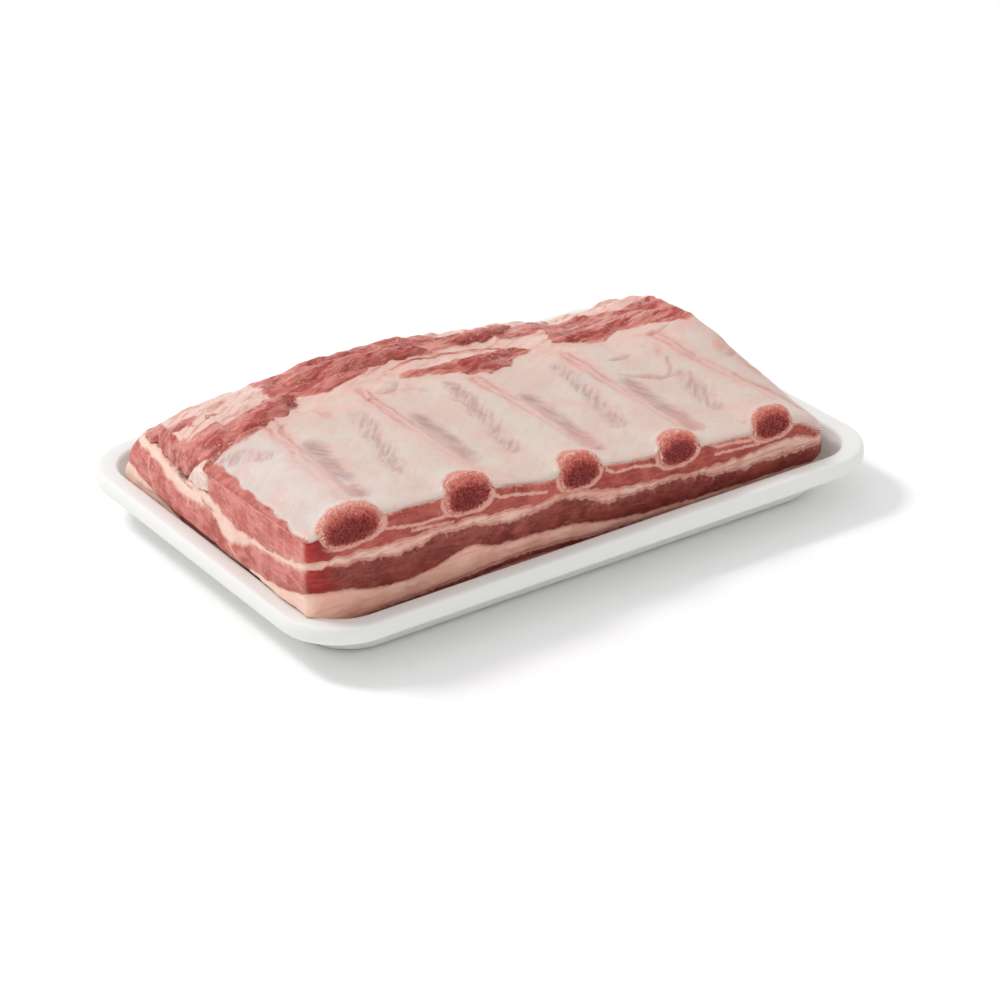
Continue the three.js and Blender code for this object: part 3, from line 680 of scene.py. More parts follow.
def lean_material(name, shaded_tones, lit_tones, pale, grain):
    """Cut pork lean: red muscle, mottled in bundles of fine fibre that run along the grain. Its colour is
    paler and pinker on the faces turned to the light and darker on the shaded front: painted light and
    shade. Pale flecks of fat lie in it, more of them on the lit faces. Fat frays into it at its borders and
    hangs down from the seam above, and the corner cut last is blood red."""
    made, nodes, shader, where = start_material(name)
    lit_side, below, vein, blood = point_values(nodes, "lit_side", "below", "vein", "blood")
    fibres = speckle(nodes, where, 0.8, grain, 0.0, 4.0, 0.4)
    mottle = speckle(nodes, where, 3.2, (1.5, 1.5, 1.0), 0.0, 4.0)
    clouds = add(nodes, "Math", (speckle(nodes, where, 12.0), 0.35), operation="MULTIPLY")
    bundles = add(nodes, "Math", (mottle, 0.35, clouds), operation="MULTIPLY_ADD")
    bundles = add(nodes, "Math", (fibres, 0.3, bundles), operation="MULTIPLY_ADD")
    share = add(nodes, "MapRange", (bundles, 0.4, 0.6), **SOFT)
    # Painted light and shade: the lit colours on the faces turned to the light, the shaded ones on the
    # front.
    colour = glaze(nodes, glaze(nodes, *shaded_tones, share), glaze(nodes, *lit_tones, share), lit_side)
    flecks = patches(nodes, 0.6, 0.7, where, 0.75, (1.3, 1.3, 1.0), 0.0, 2.0, 0.6)
    flecks = add(nodes, "Math", (flecks, patches(nodes, 0.46, 0.6, where, 7.0)), operation="MULTIPLY")
    # More flecks on the faces turned to the light.
    flecked = add(nodes, "Math", (lit_side, 0.75, 0.2), operation="MULTIPLY_ADD")
    flecks = add(nodes, "Math", (flecks, flecked), operation="MULTIPLY")
    fringe = add(nodes, "Math", (near_border(nodes, where, 0.8), 0.8), operation="MULTIPLY")
    hanging = patches(nodes, 0.6, 0.72, where, 1.2, (1, 1, 3.0), 0.0, 3.0, 1.2)
    hangs = add(nodes, "Math", (hanging, fading(nodes, below, 0.8, 4.0, 0.6)), operation="MULTIPLY")
    veins = fading(nodes, frayed(nodes, vein, speckle(nodes, where, 1.5), 1.2), 0.15, 0.75)
    veins = add(nodes, "Math", (veins, 0.85), operation="MULTIPLY")
    spots = add(nodes, "Math", (flecks, fringe), operation="MAXIMUM")
    threads = add(nodes, "Math", (hangs, veins), operation="MAXIMUM")
    colour = glaze(nodes, colour, pale, add(nodes, "Math", (spots, threads), operation="MAXIMUM"))
    bloody = add(nodes, "MapRange", (frayed(nodes, blood, mottle, 0.8), 0.05, 0.75), **SOFT)
    colour = glaze(nodes, colour, glaze(nodes, "#8A1A18", "#B53A33", share), bloody)
    gloss = patches(nodes, 0.3, 0.8, where, 2.0)
    roughness = add(nodes, "Math", (gloss, 0.25, 0.3), operation="MULTIPLY_ADD")
    raised = add(nodes, "Math", (fibres, mottle), operation="ADD")
    height = add(nodes, "Math", (flecks, 0.8, raised), operation="MULTIPLY_ADD")
    moist(nodes, shader, colour, roughness, height, 0.15, 1.0)
    return made


# Back fat and the fat in the belly: waxy, pale peach pink, firm and only a little glossy.
belly_fat_look = fat_material("pork_fat", "#F0C2B0", "#EBB29F", "#DD9A87", 0.55, 0.45)

# The seam under the ribs: fat shot through with connective tissue, pinker and streaky.
seam_look = fat_material("seam_fat", "#EEC5B4", "#E0A595", "#BE7064", 0.5, 0.6)

# Belly muscle, the darkest lean of the slab.
# First the shaded colours for the front, then lighter ones, painted light, for the faces turned to the
# light.
belly_lean_look = lean_material("belly_muscle", ("#74281F", "#95463C"), ("#AE5347", "#D3837A"),
                                "#DDA596", (4.5, 4.5, 1.0))
for node, look in {
    "skin_fat": belly_fat_look, "lower_lean": belly_lean_look, "belly_fat": belly_fat_look,
    "belly_lean": belly_lean_look, "rib_fat": seam_look,
}.items():
    layers[node].data.materials.append(look)

# ---------------------------------------------------------------------------------------------
# Lean between the ribs: one band of muscle that the ribs run through, crossed by a pale seam, with
# a ring of fat and bone skin round each rib end.
# ---------------------------------------------------------------------------------------------

BAND_OPENS = (-1.5, 1.5)
RING_WIDTH = 0.5
# Pale seams through the lean between the ribs on the front face, as paths of (x, z).
FRONT_SEAMS = [
    [(-78, 41), (-74.5, 38), (-64, 35.8), (-55, 35.6)],
    [(-66, 34.6), (-57, 33.6), (-52, 33)],
    [(-39, 38), (-36, 36), (-28, 34.4), (-20, 32.8)],
    [(1.5, 33.5), (5, 31.6), (12, 31.4), (21, 29.4)],
    [(39, 31), (43, 29), (50, 28.6), (56, 27.4)],
    [(42, 26.8), (50, 26.2), (59, 25.6)],
]
RIB_SQUARENESS = 2.6
RIB_GAP = 0.7
END_REACH = 8.0
# How far in the rib leaves the slab's top and is covered, and how it stands up there.
BARE_ENDS = (0.5, 4.0)
BARE_RISE = -0.1


def left_of_first_rib(depth):
    """Share of the length at the left side of the first rib."""
    return rib_along(RIBS[0], depth) - RIBS[0][2] * mix(1, RIB_BACK_TAPER, depth) / LENGTH


def band_left(depth):
    """The band reaches the left face in front, and from the pale wedge back it ends at the rib."""
    y = mix(FRONT, BACK, depth)
    low, high = BAND_OPENS
    return smooth_step((y - low) / (high - low)) * left_of_first_rib(depth)


def rib_section(rib, depth):
    """Middle, half width, foot and top of a rib's section. It fills the band from the seam to the
    cover. The sawn end has its own width and foot, and is bare: it reaches the slab's top."""
    into = depth * DEPTH
    end = np.exp(-((into / END_REACH) ** 2))
    bare = 1 - smooth_step((into - BARE_ENDS[0]) / (BARE_ENDS[1] - BARE_ENDS[0]))
    middle = rib_along(rib, depth)
    half = rib[2] * mix(1, RIB_BACK_TAPER, depth) * mix(1, rib[4], end)
    foot = rib_fat_top(middle, depth) + RIB_GAP + rib[5] * end
    top = mix(cover_underside(middle, depth) - RIB_GAP, slab_top(middle, depth) + BARE_RISE, bare)
    return middle, half, foot, top


def rib_distance(along, depth, z):
    """Distance in mm outside the nearest rib's squarish oval, negative inside it."""
    least = np.full(np.broadcast(along, z).shape, 99.0)
    for rib in RIBS:
        middle, half, floor_z, roof_z = rib_section(rib, depth)
        across = np.abs(along - middle) * LENGTH / half
        up = np.abs(z - (floor_z + roof_z) / 2) / ((roof_z - floor_z) / 2)
        reach = (across ** RIB_SQUARENESS + up ** RIB_SQUARENESS) ** (1 / RIB_SQUARENESS)
        least = np.minimum(least, (reach - 1) * (roof_z - floor_z) / 2)
    return least


BAND_ROWS = 20
rings, above, below, along = layer_rings(rib_fat_top, cover_underside, BAND_ROWS, 0.25, band_left)
values = face_values(rings, above, below)
x, y, z = np.moveaxis(rings, -1, 0)
ring = rib_distance(along, np.clip((y - FRONT) / DEPTH, 0, 1), z)
rings[..., 1] += np.clip(-1.3 * ring, 0, 5) * (y < FRONT + 3)
seams = np.min([path_distance(x - SLAB_SHIFT, z, path) for path in FRONT_SEAMS], axis=0)
values["vein"] = np.minimum(np.maximum(ring - RING_WIDTH, 0), np.where(y < FRONT + 4, seams, 9.0))
rib_lean = closed_rings("rib_lean_band", rings, values)
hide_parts(*(f"rib_lean_{i}" for i in range(6)))
# First the shaded colours for the front, then lighter ones, painted light, for the faces turned to the
# light.
rib_lean.data.materials.append(
    lean_material("rib_muscle", ("#993A31", "#BC5D51"), ("#B8594E", "#D88A7E"), "#E3AD9D", (5, 5, 0.9)))

# ---------------------------------------------------------------------------------------------
# Ribs: sawn through, so each end shows a hard pale shell round dark red, spongy marrow bone.
# ---------------------------------------------------------------------------------------------

RIB_SIDES = 150
CAP_RINGS = 30
RIB_ROWS = np.concatenate([np.linspace(0, 0.13, 30), np.linspace(0.13, 1, 10)[1:]])
# The sawn ends stand proud of the face, and their upper half slopes back.
END_PROUD, END_DOME, END_PITS = 0.4, 0.5, 0.3
END_SLOPE, SLOPE_FADE = 3.2, 5.0
CRUMB = 0.22


def rib_ring(rib, depth, reach):
    """Ring of a rib's squarish section, scaled by reach, with the upper part of the sawn end sloping
    back. Also gives its unit section, across and up."""
    angle = 2 * math.pi * np.arange(RIB_SIDES) / RIB_SIDES
    power = 2 / RIB_SQUARENESS
    across = -np.sign(np.cos(angle)) * np.abs(np.cos(angle)) ** power * reach
    up = np.sign(np.sin(angle)) * np.abs(np.sin(angle)) ** power * reach
    middle, half, foot, top = rib_section(rib, depth)
    along = middle + across * half / LENGTH
    ring = slab_point(along, depth + 0 * along, mix(foot, top, (1 + up) / 2))
    near = math.exp(-depth * DEPTH / SLOPE_FADE)
    crumbs = CRUMB * near * ripple(*ring.T, 1.5, 53)
    ring[:, 0] += crumbs * across
    ring[:, 1] += END_SLOPE * near * np.clip((up + 0.1) / 1.1, 0, 1) ** 1.7
    ring[:, 2] += crumbs * up
    return ring, across, up


def rib_rings(rib):
    """Rings from the middle of the front end out, along the rib, and in over the back end. The ends
    dome out and the marrow is pitted. reach is the share of the way out on an end, and grows from 1
    along the rib. marrow is 1 low in the middle of an end."""
    rings, reaches, marrows = [], [], []
    shares = np.linspace(0.03, 1, CAP_RINGS)
    caps = [(-1, 0.0, share) for share in shares]
    walls = [(0, depth, 1.0) for depth in RIB_ROWS]
    for end, depth, share in caps + walls + [(1, 1.0, share) for share in shares[::-1]]:
        ring, across, up = rib_ring(rib, depth, share)
        pits = END_PITS * ripple(*ring.T, 1.5, 51) * np.clip((0.95 - share) / 0.1, 0, 1)
        dome = END_DOME * (1 - share ** 4) + 0.12 * ripple(*ring.T, 5.0, 52) + END_PROUD
        ring[:, 1] += end * (dome + pits)
        if end == 0 and depth < 0.02:
            ring[:, 1] -= END_PROUD * math.exp(-depth * DEPTH / 0.8)
        rings.append(ring)
        reaches.append(np.full(RIB_SIDES, share if end else 1 + 0.08 * depth * DEPTH))
        marrows.append(np.clip(1.25 - np.hypot(across * 0.95, (up + 0.2) * 1.25), 0, 1) * abs(end))
    return np.stack(rings), {"reach": np.stack(reaches), "marrow": np.stack(marrows)}


ribs = []
for number, rib in enumerate(RIBS, start=1):
    piece = closed_rings(f"rib_end_{number}", *rib_rings(rib))
    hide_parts(f"rib_bone_{number}")
    ribs.append(piece)

# Sawn bone: a net of thin pink walls round pits of dark red marrow, darkest low in the middle. The
# rim and the scraped top are crumbly and pinkish red. It is wet only in the pits.
sawn, nodes, shader, where = start_material("sawn_rib_bone")
marrow, reach = point_values(nodes, "marrow", "reach")
crumbs = speckle(nodes, where, 0.62, (1, 1, 1), 0.0, 2.0, 0.3)
patch = speckle(nodes, where, 2.2)
marrow = frayed(nodes, marrow, patch, 0.5)
pits = add(nodes, "Math", (marrow, 0.12, crumbs), operation="MULTIPLY_ADD")
pits = add(nodes, "MapRange", (pits, 0.44, 0.66), **SOFT)
deep = add(nodes, "MapRange", (marrow, 0.05, 0.6), **SOFT)
walls = glaze(nodes, "#D6796A", "#A8433B", deep)
hollows = glaze(nodes, "#B24A40", "#6E1A1B", deep)
spongy = glaze(nodes, walls, hollows, pits)
shell = glaze(nodes, "#EFC3B3", "#E09A89", add(nodes, "MapRange", (patch, 0.42, 0.62), **SOFT))
rim = glaze(nodes, "#D58374", shell, add(nodes, "MapRange", (crumbs, 0.38, 0.62), **SOFT))
edge = frayed(nodes, frayed(nodes, reach, crumbs, 0.4), patch, 0.5)
colour = glaze(nodes, spongy, rim, add(nodes, "MapRange", (edge, 0.8, 1.0), **SOFT))
roughness = add(nodes, "Math", (pits, -0.25, 0.6), operation="MULTIPLY_ADD")
sunk = add(nodes, "Math", (pits, 0.6), operation="MULTIPLY")
height = add(nodes, "Math", (crumbs, sunk), operation="SUBTRACT")
moist(nodes, shader, colour, roughness, height, 0.3, 1.0)
for piece in ribs:
    piece.data.materials.append(sawn)

# ---------------------------------------------------------------------------------------------
# Cover: the pearly membrane and thin fat on the inside of the ribs. It dips along each rib, shows
# grey muscle through itself in bands, and runs into rougher fat and flank lean along the back.
# ---------------------------------------------------------------------------------------------

COVER_OPENS = (4.0, 7.0)
EDGE_ROUND, EDGE_ROLL = 0.7, 0.35

# Double pink grooves beside the ribs, as paths of (x, y).
PINK_GROOVES = [
    [(-73, 10), (-75, -8), (-77.5, -22), (-80, -48)],
    [(-39, 12), (-39, -12), (-38.5, -30), (-37, -50)],
    [(-2, 4), (0, -10), (2, -26), (4.4, -48)],
    [(36, 8), (35.5, -8), (37.5, -26), (40, -48)],
    [(70, 6), (70, -10), (75, -28), (77.5, -42)],
]
# Grey bands where muscle shows through: right of each groove and left of the next rib.
BANDS_BY_GROOVE = [
    [(-69, -12), (-72, -28), (-75, -46)],
    [(-32.5, -12.8), (-33, -28), (-33.8, -41.5)],
    [(6.4, -14), (6, -30), (5.4, -48)],
    [(42.6, -16), (42.6, -32), (42, -48)],
]
BANDS_BY_RIB = [
    [(-48, -2), (-52, -20), (-57.5, -40)],
    [(-11, 1), (-14, -18), (-18.8, -40)],
    [(27.5, 0), (25.4, -18), (21.9, -38)],
    [(61, -20), (59, -30), (57, -39)],
    [(-94, 0), (-88, -4), (-84, -11)],
]
# Lean that lies in the surface of the cover along the back, as outlines of (x, y).
LEAN_PATCHES = [
    [(-99, 2), (-88, 4), (-82.7, 4.6), (-71, 11), (-58, 19), (-59.7, 22), (-65.5, 28.3), (-74, 24),
     (-83.8, 19.2), (-91.7, 19.8), (-94, 27), (-91, 31), (-87.2, 26), (-83, 31), (-87.3, 35.6),
     (-92.6, 38), (-99, 41)],
    [(-63.4, 34.8), (-62, 54), (3, 54), (8, 46), (22, 40), (24, 38), (14, 32.6), (2.7, 31),
     (-6, 28.6), (-19, 29.2), (-25.5, 29.8), (-29, 26), (-48, 19.5), (-57.5, 23.6), (-63, 30.2)],
    [(28, 17.7), (17.6, 21.5), (3, 20.5), (-7, 18.5), (-22, 19), (-24, 15), (-12.6, 12.5), (-5, 9.5),
     (2.7, 6), (7, 5.5), (20, 13)],
    [(24, 30.5), (31, 29.5), (45.5, 31.6), (54, 36), (54, 46), (41, 44), (25, 40)],
    [(38, 22.5), (41, 17), (45.4, 13.3), (53, 13), (61.5, 16.5), (66, 16), (72, 14.4), (84.3, 8.4), (91, 8),
     (91, 36), (80, 35), (66, 40), (52, 38), (44, 34)],
    [(-22, 24), (-10, 24.5), (5, 26), (20, 22.8), (21, 24), (5, 28), (-10, 27)],
]
# Soft lobes and folds of fat: middle, half length, half width, turn in degrees, height.
FAT_LOBES = [
    ((-30.8, 12.4), 4.8, 3.4, 25, 1.1),
    ((51.5, -13.6), 7.5, 2.0, -26, 0.9),
    ((-16, -12.5), 6.5, 1.3, 100, 0.6),
    ((50, 0), 4.2, 1.7, 4, 0.7),
    ((73, 9), 4.6, 1.7, 4, 0.5),
    ((83.5, -10.5), 4.0, 3.0, 70, 1.1),
]
FOLD_LINES = [
    [(57.5, -17), (61, -14), (63, -9)],
    [(76, -27), (80, -37), (84, -48)],
    [(-12.5, 5), (-9, 2), (-11, 0)],
]
# Pink flushes: middle, half length, half width, turn in degrees.
FLUSHES = [
    ((-56, 7), 8, 3, 100),
    ((63, -2), 7, 3, 75),
    ((68, 8), 7, 3, 150),
    ((84, -10.5), 6, 4, 70),
    ((79, -34), 12, 4, 112),
    ((87, -25), 18, 3, 95),
    ((-24, 6), 7, 3, 150),
    ((43, -45), 8, 3, 105),
]


def inside_distance(x, y, outline):
    """Distance in mm to an outline, positive inside it and negative outside."""
    inside = np.zeros(np.shape(x), bool)
    for (ax, ay), (bx, by) in zip(outline, outline[1:] + outline[:1]):
        crosses = (ay > y) != (by > y)
        inside ^= crosses & (x < ax + (y - ay) * (bx - ax) / (by - ay if by != ay else 1e-9))
    least = path_distance(x, y, outline + outline[:1])
    return np.where(inside, least, -least)


def cover_left(depth):
    """The cover reaches the left face in front, and from the flank piece back it starts at the rib."""
    y = mix(FRONT, BACK, depth)
    share = smooth_step((y - COVER_OPENS[0]) / (COVER_OPENS[1] - COVER_OPENS[0]))
    return share * (left_of_first_rib(depth) - 1.0 / LENGTH)


def bands(x, y, paths):
    """1 along the middle of the nearest path, falling softly to 0 some mm away."""
    least = np.min([path_distance(x, y, path) for path in paths], axis=0)
    return 1 - smooth_step((least - 0.6) / 4.2)


def in_oval(x, y, middle, long_half, short_half, turn):
    """Place of each point in a turned oval: its distance out, 1 at the edge, and its share across."""
    c, s = math.cos(math.radians(turn)), math.sin(math.radians(turn))
    dx, dy = x - middle[0], y - middle[1]
    across = (c * dy - s * dx) / short_half
    return np.hypot((c * dx + s * dy) / long_half, across), across


def rib_offsets(along, depth):
    """For each rib, the distance of each point from its middle, in half widths of its sawn end."""
    return [np.abs(along - rib_along(rib, depth)) * LENGTH / (rib[2] * rib[4]) for rib in RIBS]


def cover_top(along, depth):
    """Height of the cover's top, and its marks. It is the slab's top with grooves by the ribs, sunk
    grey bands, lobes and folds of fat, rougher lean and fat at the back, an edge that is worn away
    over the left face, and a rounded rim. The marks are distances in mm or shares."""
    x, y = mix(LEFT, RIGHT, along), mix(FRONT, BACK, depth)
    flat = 0 * x
    near_x = x + 0.7 * ripple(x, y, flat, 9.0, 61) + 0.3 * ripple(x, y, flat, 3.0, 62)
    near_y = y + 0.7 * ripple(x, y, flat, 9.0, 63) + 0.3 * ripple(x, y, flat, 3.0, 64)
    groove = np.min([path_distance(near_x, near_y, path) for path in PINK_GROOVES], axis=0)
    by_groove, by_rib = bands(near_x, near_y, BANDS_BY_GROOVE), bands(near_x, near_y, BANDS_BY_RIB)
    lean = np.max([inside_distance(near_x, near_y, path) for path in LEAN_PATCHES], axis=0)
    worn = 0.4 + 2.9 * np.clip((y + 56) / 56, 0, 1) - (x - LEFT) - 0.4 * ripple(x, y, flat, 9.0, 65)
    worn = np.where(y < 4, worn, -9.0)
    ends, cut, collar = np.full(x.shape, -9.0), flat, flat
    for off in rib_offsets(along, depth):
        out = np.hypot(off, (near_y - FRONT) / 6.0)
        ends = np.maximum(ends, 7.0 * (1 - out))
        collar = np.maximum(collar, np.exp(-(((out - 1.12) / 0.16) ** 2)))
        cut = np.maximum(cut, smooth_step((0.92 - off) / 0.25) * (1 - smooth_step((y - FRONT) / 5.0)))
    z = slab_top(along, depth) + 0.2 * ripple(x, y, flat, 14.0, 71) + 0.08 * ripple(x, y, flat, 4.5, 72)
    upper = 0.35 + 0.65 * smooth_step((y + 34) / 36)
    z = z + upper * (0.35 * np.exp(-((groove / 1.0) ** 2)) - 0.3 * np.exp(-(((groove - 1.6) / 0.9) ** 2)))
    z = z - 0.8 * by_groove - 0.45 * by_rib - 0.6 * smooth_step(ends / 2) - 3.0 * cut + 0.35 * collar
    rough = np.clip((y - 2) / 16, 0, 1) + 0.8 * np.clip((y - 26) / 12, 0, 1)
    z = z + rough * (0.5 * ripple(x, y, flat, 9.0, 73) + 0.12 * ripple(x, y, flat, 3.2, 74))
    z = z + 0.45 * np.clip(lean / 1.5, -0.4, 1) - 0.45 * smooth_step(worn / 0.8 + 0.5)
    fold = np.min([path_distance(near_x, near_y, path) for path in FOLD_LINES], axis=0)
    fold = np.exp(-((fold / 0.8) ** 2))
    for *oval, height in FAT_LOBES:
        out, across = in_oval(near_x, near_y, *oval)
        z = z + height * (1 - smooth_step(out / 1.15)) ** 0.7
        under = smooth_step(0.1 - across)
        fold = np.maximum(fold, under * np.exp(-(((out - 1.15) / 0.22) ** 2)))
    z = z - 0.35 * fold
    flush = flat
    for oval in FLUSHES:
        flush = np.maximum(flush, 1 - smooth_step(in_oval(near_x, near_y, *oval)[0]))
    rim = np.minimum(np.minimum(x - LEFT, RIGHT - x), np.minimum(y - FRONT, BACK - y))
    z = z - EDGE_ROUND * np.exp(-np.maximum(rim, 0) / 0.8)
    return z, {"groove": groove, "by_groove": by_groove, "by_rib": by_rib, "lean": lean, "worn": worn,
               "ends": ends, "fold": fold, "flush": flush, "skirt": flat}


def cover_piece():
    """Closed piece: rings in over the underside and up the edge, then a grid over the whole top."""
    rings, drop = [], []
    for inward in CAP_SHARES[::-1]:
        depth = mix(rim_depth, 0.5, inward)
        along = mix(cover_left(depth), 1.0, mix(rim_along, 0.5, inward))
        rings.append(slab_point(along, depth, cover_underside(along, depth)))
        drop.append(np.full(len(along), COVER_THICKNESS))
    along = mix(cover_left(rim_depth), 1.0, rim_along)
    low, high = cover_underside(along, rim_depth), cover_top(along, rim_depth)[0]
    bare = np.zeros(len(along))
    for off in rib_offsets(along, rim_depth):
        bare = np.maximum(bare, smooth_step((0.94 - off) / 0.25) * (rim_depth == 0))
    for up in np.linspace(0, 1, 6)[:-1]:
        points = slab_point(along, rim_depth, mix(low, high, up))
        push = face_relief(points) - BORDER_CREASE * np.exp(-up * (high - low) / CREASE_WIDTH)
        push = (push + EDGE_ROLL * math.sin(math.pi * min(up * 1.3, 1))) * (1 - bare) - 3.4 * bare
        points[:, :2] += outward(points[None])[0] * push[:, None]
        rings.append(points)
        drop.append((1 - up) * (high - low))
    rings = np.stack(rings)
    depth, share = np.meshgrid(share_depth, share_along)
    along = mix(cover_left(depth), 1.0, share)
    z, marks = cover_top(along, depth)
    top = slab_point(along, depth, z)
    across = len(rim_along)
    first = rings.shape[0] * across
    number = first + np.arange(z.size).reshape(z.shape)
    cells = np.stack([number[:-1, :-1], number[1:, :-1], number[1:, 1:], number[:-1, 1:]], axis=-1)
    rim = np.concatenate([number[:-1, 0], number[-1, :-1], number[:0:-1, -1], number[0, :0:-1]])
    last = first - across + np.arange(across)
    turn = np.roll(np.arange(across), -1)
    skirt = np.stack([last, last[turn], rim[turn], rim], axis=-1)
    points = np.concatenate([rings.reshape(-1, 3), top.reshape(-1, 3), rings[0].mean(axis=0)[None]])
    quads = np.concatenate([ring_faces(rings.shape[0], across), cells.reshape(-1, 4), skirt])
    values = {}
    for label, numbers in marks.items():
        flat = numbers.ravel()
        below = np.stack(drop).ravel() if label == "skirt" else np.tile(flat[rim - first], rings.shape[0])
        values[label] = np.concatenate([below, flat, below[:1]])
    pole = first + z.size
    return make_piece("rib_cover_membrane", points, quads, pole_faces(pole, 0, across, True), values)


cover = cover_piece()
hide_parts("rib_cover")

# Membrane over rib and muscle: pearly, smooth and moist, bluish at the left and warmer to the
# right, with slanting fibres in the grey bands, pink lines in the grooves, and granular lean where
# the flank was cut off.
membrane, nodes, shader, where = start_material("rib_membrane_and_flank")
along_x = add(nodes, "SeparateXYZ", (where,), "X")
along_y = add(nodes, "SeparateXYZ", (where,), "Y")
groove, by_groove, by_rib, flush, fold, lean, worn, skirt, ends = point_values(
    nodes, "groove", "by_groove", "by_rib", "flush", "fold", "lean", "worn", "skirt", "ends")

# The membrane itself, with pinker fat to the back, painted shade that greys it towards the right end, and
# fine slanting wisps.
cloud = patches(nodes, 0.3, 0.7, where, 15.0)
pearl = glaze(nodes, "#D8CBC5", "#D2C1BA", cloud)
cream = glaze(nodes, "#D3C4B9", "#D3B8AD", cloud)
colour = glaze(nodes, pearl, cream, add(nodes, "MapRange", (along_x, -92.0, -55.0), **SOFT))
flesh = glaze(nodes, "#E4CABD", "#D8AC9E", speckle(nodes, where, 4.0, (1.8, 1.0, 1.0), 0.5))
colour = glaze(nodes, colour, flesh, add(nodes, "MapRange", (along_y, -6.0, 24.0), **SOFT))
streaks = patches(nodes, 0.5, 0.64, where, 1.8, (9.0, 1.0, 2.0), 0.4, 4.0, 0.5)
backward = add(nodes, "MapRange", (along_y, 8.0, 26.0), **SOFT)
streaks = add(nodes, "Math", (streaks, backward), operation="MULTIPLY")
colour = glaze(nodes, colour, "#C9776B", streaks, 0.7)
# Painted shade: greyer towards the right end, where the top slopes away from the light.
colour = glaze(nodes, colour, "#C79C93", add(nodes, "MapRange", (along_x, 74.0, 90.0), **SOFT), 0.55)
wisps = patches(nodes, 0.5, 0.7, where, 1.3, (6.0, 1.0, 2.0), 0.75, 4.0, 0.5)
colour = glaze(nodes, colour, "#D3A398", wisps, 0.28)

# Grey bands of muscle under the membrane, and the pink grooves beside the ribs.
strokes = patches(nodes, 0.34, 0.62, where, 1.2, (6.0, 1.0, 3.0), -1.15, 3.0, 0.3)
strokes = add(nodes, "Math", (strokes, 0.4, 0.45), operation="MULTIPLY_ADD")
grey_by_groove = add(nodes, "Math", (by_groove, strokes), operation="MULTIPLY")
strokes = patches(nodes, 0.36, 0.64, where, 1.3, (5.0, 1.0, 3.0), 0.8, 3.0, 0.3)
strokes = add(nodes, "Math", (strokes, 0.5, 0.15), operation="MULTIPLY_ADD")
grey_by_rib = add(nodes, "Math", (by_rib, strokes), operation="MULTIPLY")
grey = add(nodes, "Math", (grey_by_groove, grey_by_rib), operation="MAXIMUM")
grey = add(nodes, "Math", (grey, patches(nodes, 0.2, 0.5, where, 7.0)), operation="MULTIPLY")
colour = glaze(nodes, colour, glaze(nodes, "#AE827B", "#A98084", speckle(nodes, where, 6.0)), grey)
beside = add(nodes, "Math", (groove, 1.5), operation="SUBTRACT")
beside = add(nodes, "Math", (beside,), operation="ABSOLUTE")
lines = fading(nodes, beside, 0.2, 1.5)
halo = fading(nodes, groove, 1.0, 6.5)
front_fade = add(nodes, "MapRange", (along_y, -34.0, 2.0), **SOFT)
broken = add(nodes, "Math", (front_fade, 0.4, 0.14), operation="MULTIPLY_ADD")
gaps = patches(nodes, 0.32, 0.6, where, 3.0, (0.5, 3.0, 1.0))
broken = add(nodes, "Math", (gaps, broken), operation="MULTIPLY")
halo_strength = add(nodes, "Math", (front_fade, 0.2, 0.3), operation="MULTIPLY_ADD")
colour = glaze(nodes, colour, "#DDA298", halo, halo_strength)
colour = glaze(nodes, colour, "#C27A70", lines, broken)

# Blushes, flushes and the shade in the folds.
blush = add(nodes, "Math", (patches(nodes, 0.52, 0.7, where, 9.0), 0.35), operation="MULTIPLY")
colour = glaze(nodes, colour, "#E0A79C", blush)
flushed = patches(nodes, 0.3, 0.6, where, 2.2, (1.0, 2.5, 1.0))
flushed = add(nodes, "Math", (flush, flushed), operation="MULTIPLY")
colour = glaze(nodes, colour, "#CF8479", flushed, 0.65)
colour = glaze(nodes, colour, "#B07A70", fold, 0.4)

# Flank lean: fibres, mottling, pale flecks and lines, with a streaky edge. It also shows, lighter,
# where the membrane is worn away.
fibres = speckle(nodes, where, 1.2, (8.0, 1.0, 1.5), 0.2, 3.0, 0.4)
mottle = speckle(nodes, where, 4.0, (2.4, 1.0, 1.0), 0.25, 4.0, 0.5)
bundles = add(nodes, "Math", (mottle, 0.7), operation="MULTIPLY")
bundles = add(nodes, "Math", (fibres, 0.3, bundles), operation="MULTIPLY_ADD")
muscle = glaze(nodes, "#A23F37", "#CE7E72", add(nodes, "MapRange", (bundles, 0.4, 0.6), **SOFT))
flecks = patches(nodes, 0.54, 0.66, where, 0.7, (1.3, 1.0, 1.0), 0.3, 2.0, 0.8)
flecks = add(nodes, "Math", (flecks, patches(nodes, 0.45, 0.6, where, 7.0)), operation="MULTIPLY")
threads = patches(nodes, 0.58, 0.68, where, 1.5, (10.0, 0.8, 1.5), 0.15, 3.0, 0.5)
rightward = add(nodes, "MapRange", (along_x, 10.0, 45.0), **SOFT)
rightward = add(nodes, "Math", (rightward, 0.4, 0.3), operation="MULTIPLY_ADD")
threads = add(nodes, "Math", (threads, rightward), operation="MULTIPLY")
pale_flecks = add(nodes, "Math", (flecks, 0.8), operation="MULTIPLY")
fatty = add(nodes, "Math", (pale_flecks, threads), operation="MAXIMUM")
muscle = glaze(nodes, muscle, "#E6BDAD", fatty)
streaky = speckle(nodes, where, 2.4, (3.0, 1.0, 1.0), 0.25, 4.0, 0.4)
in_lean = add(nodes, "MapRange", (frayed(nodes, lean, streaky, 3.6), -0.45, 0.5), **SOFT)
worn = frayed(nodes, worn, speckle(nodes, where, 1.0, (1.0, 1.6, 1.0)), 1.0)
in_worn = add(nodes, "MapRange", (worn, -0.3, 0.4), **SOFT)
is_lean = add(nodes, "Math", (in_lean, in_worn), operation="MAXIMUM")
lighter = glaze(nodes, "#B4584D", "#C97C6F", patches(nodes, 0.35, 0.65, where, 3.0))
colour = glaze(nodes, colour, glaze(nodes, muscle, lighter, in_worn), is_lean)

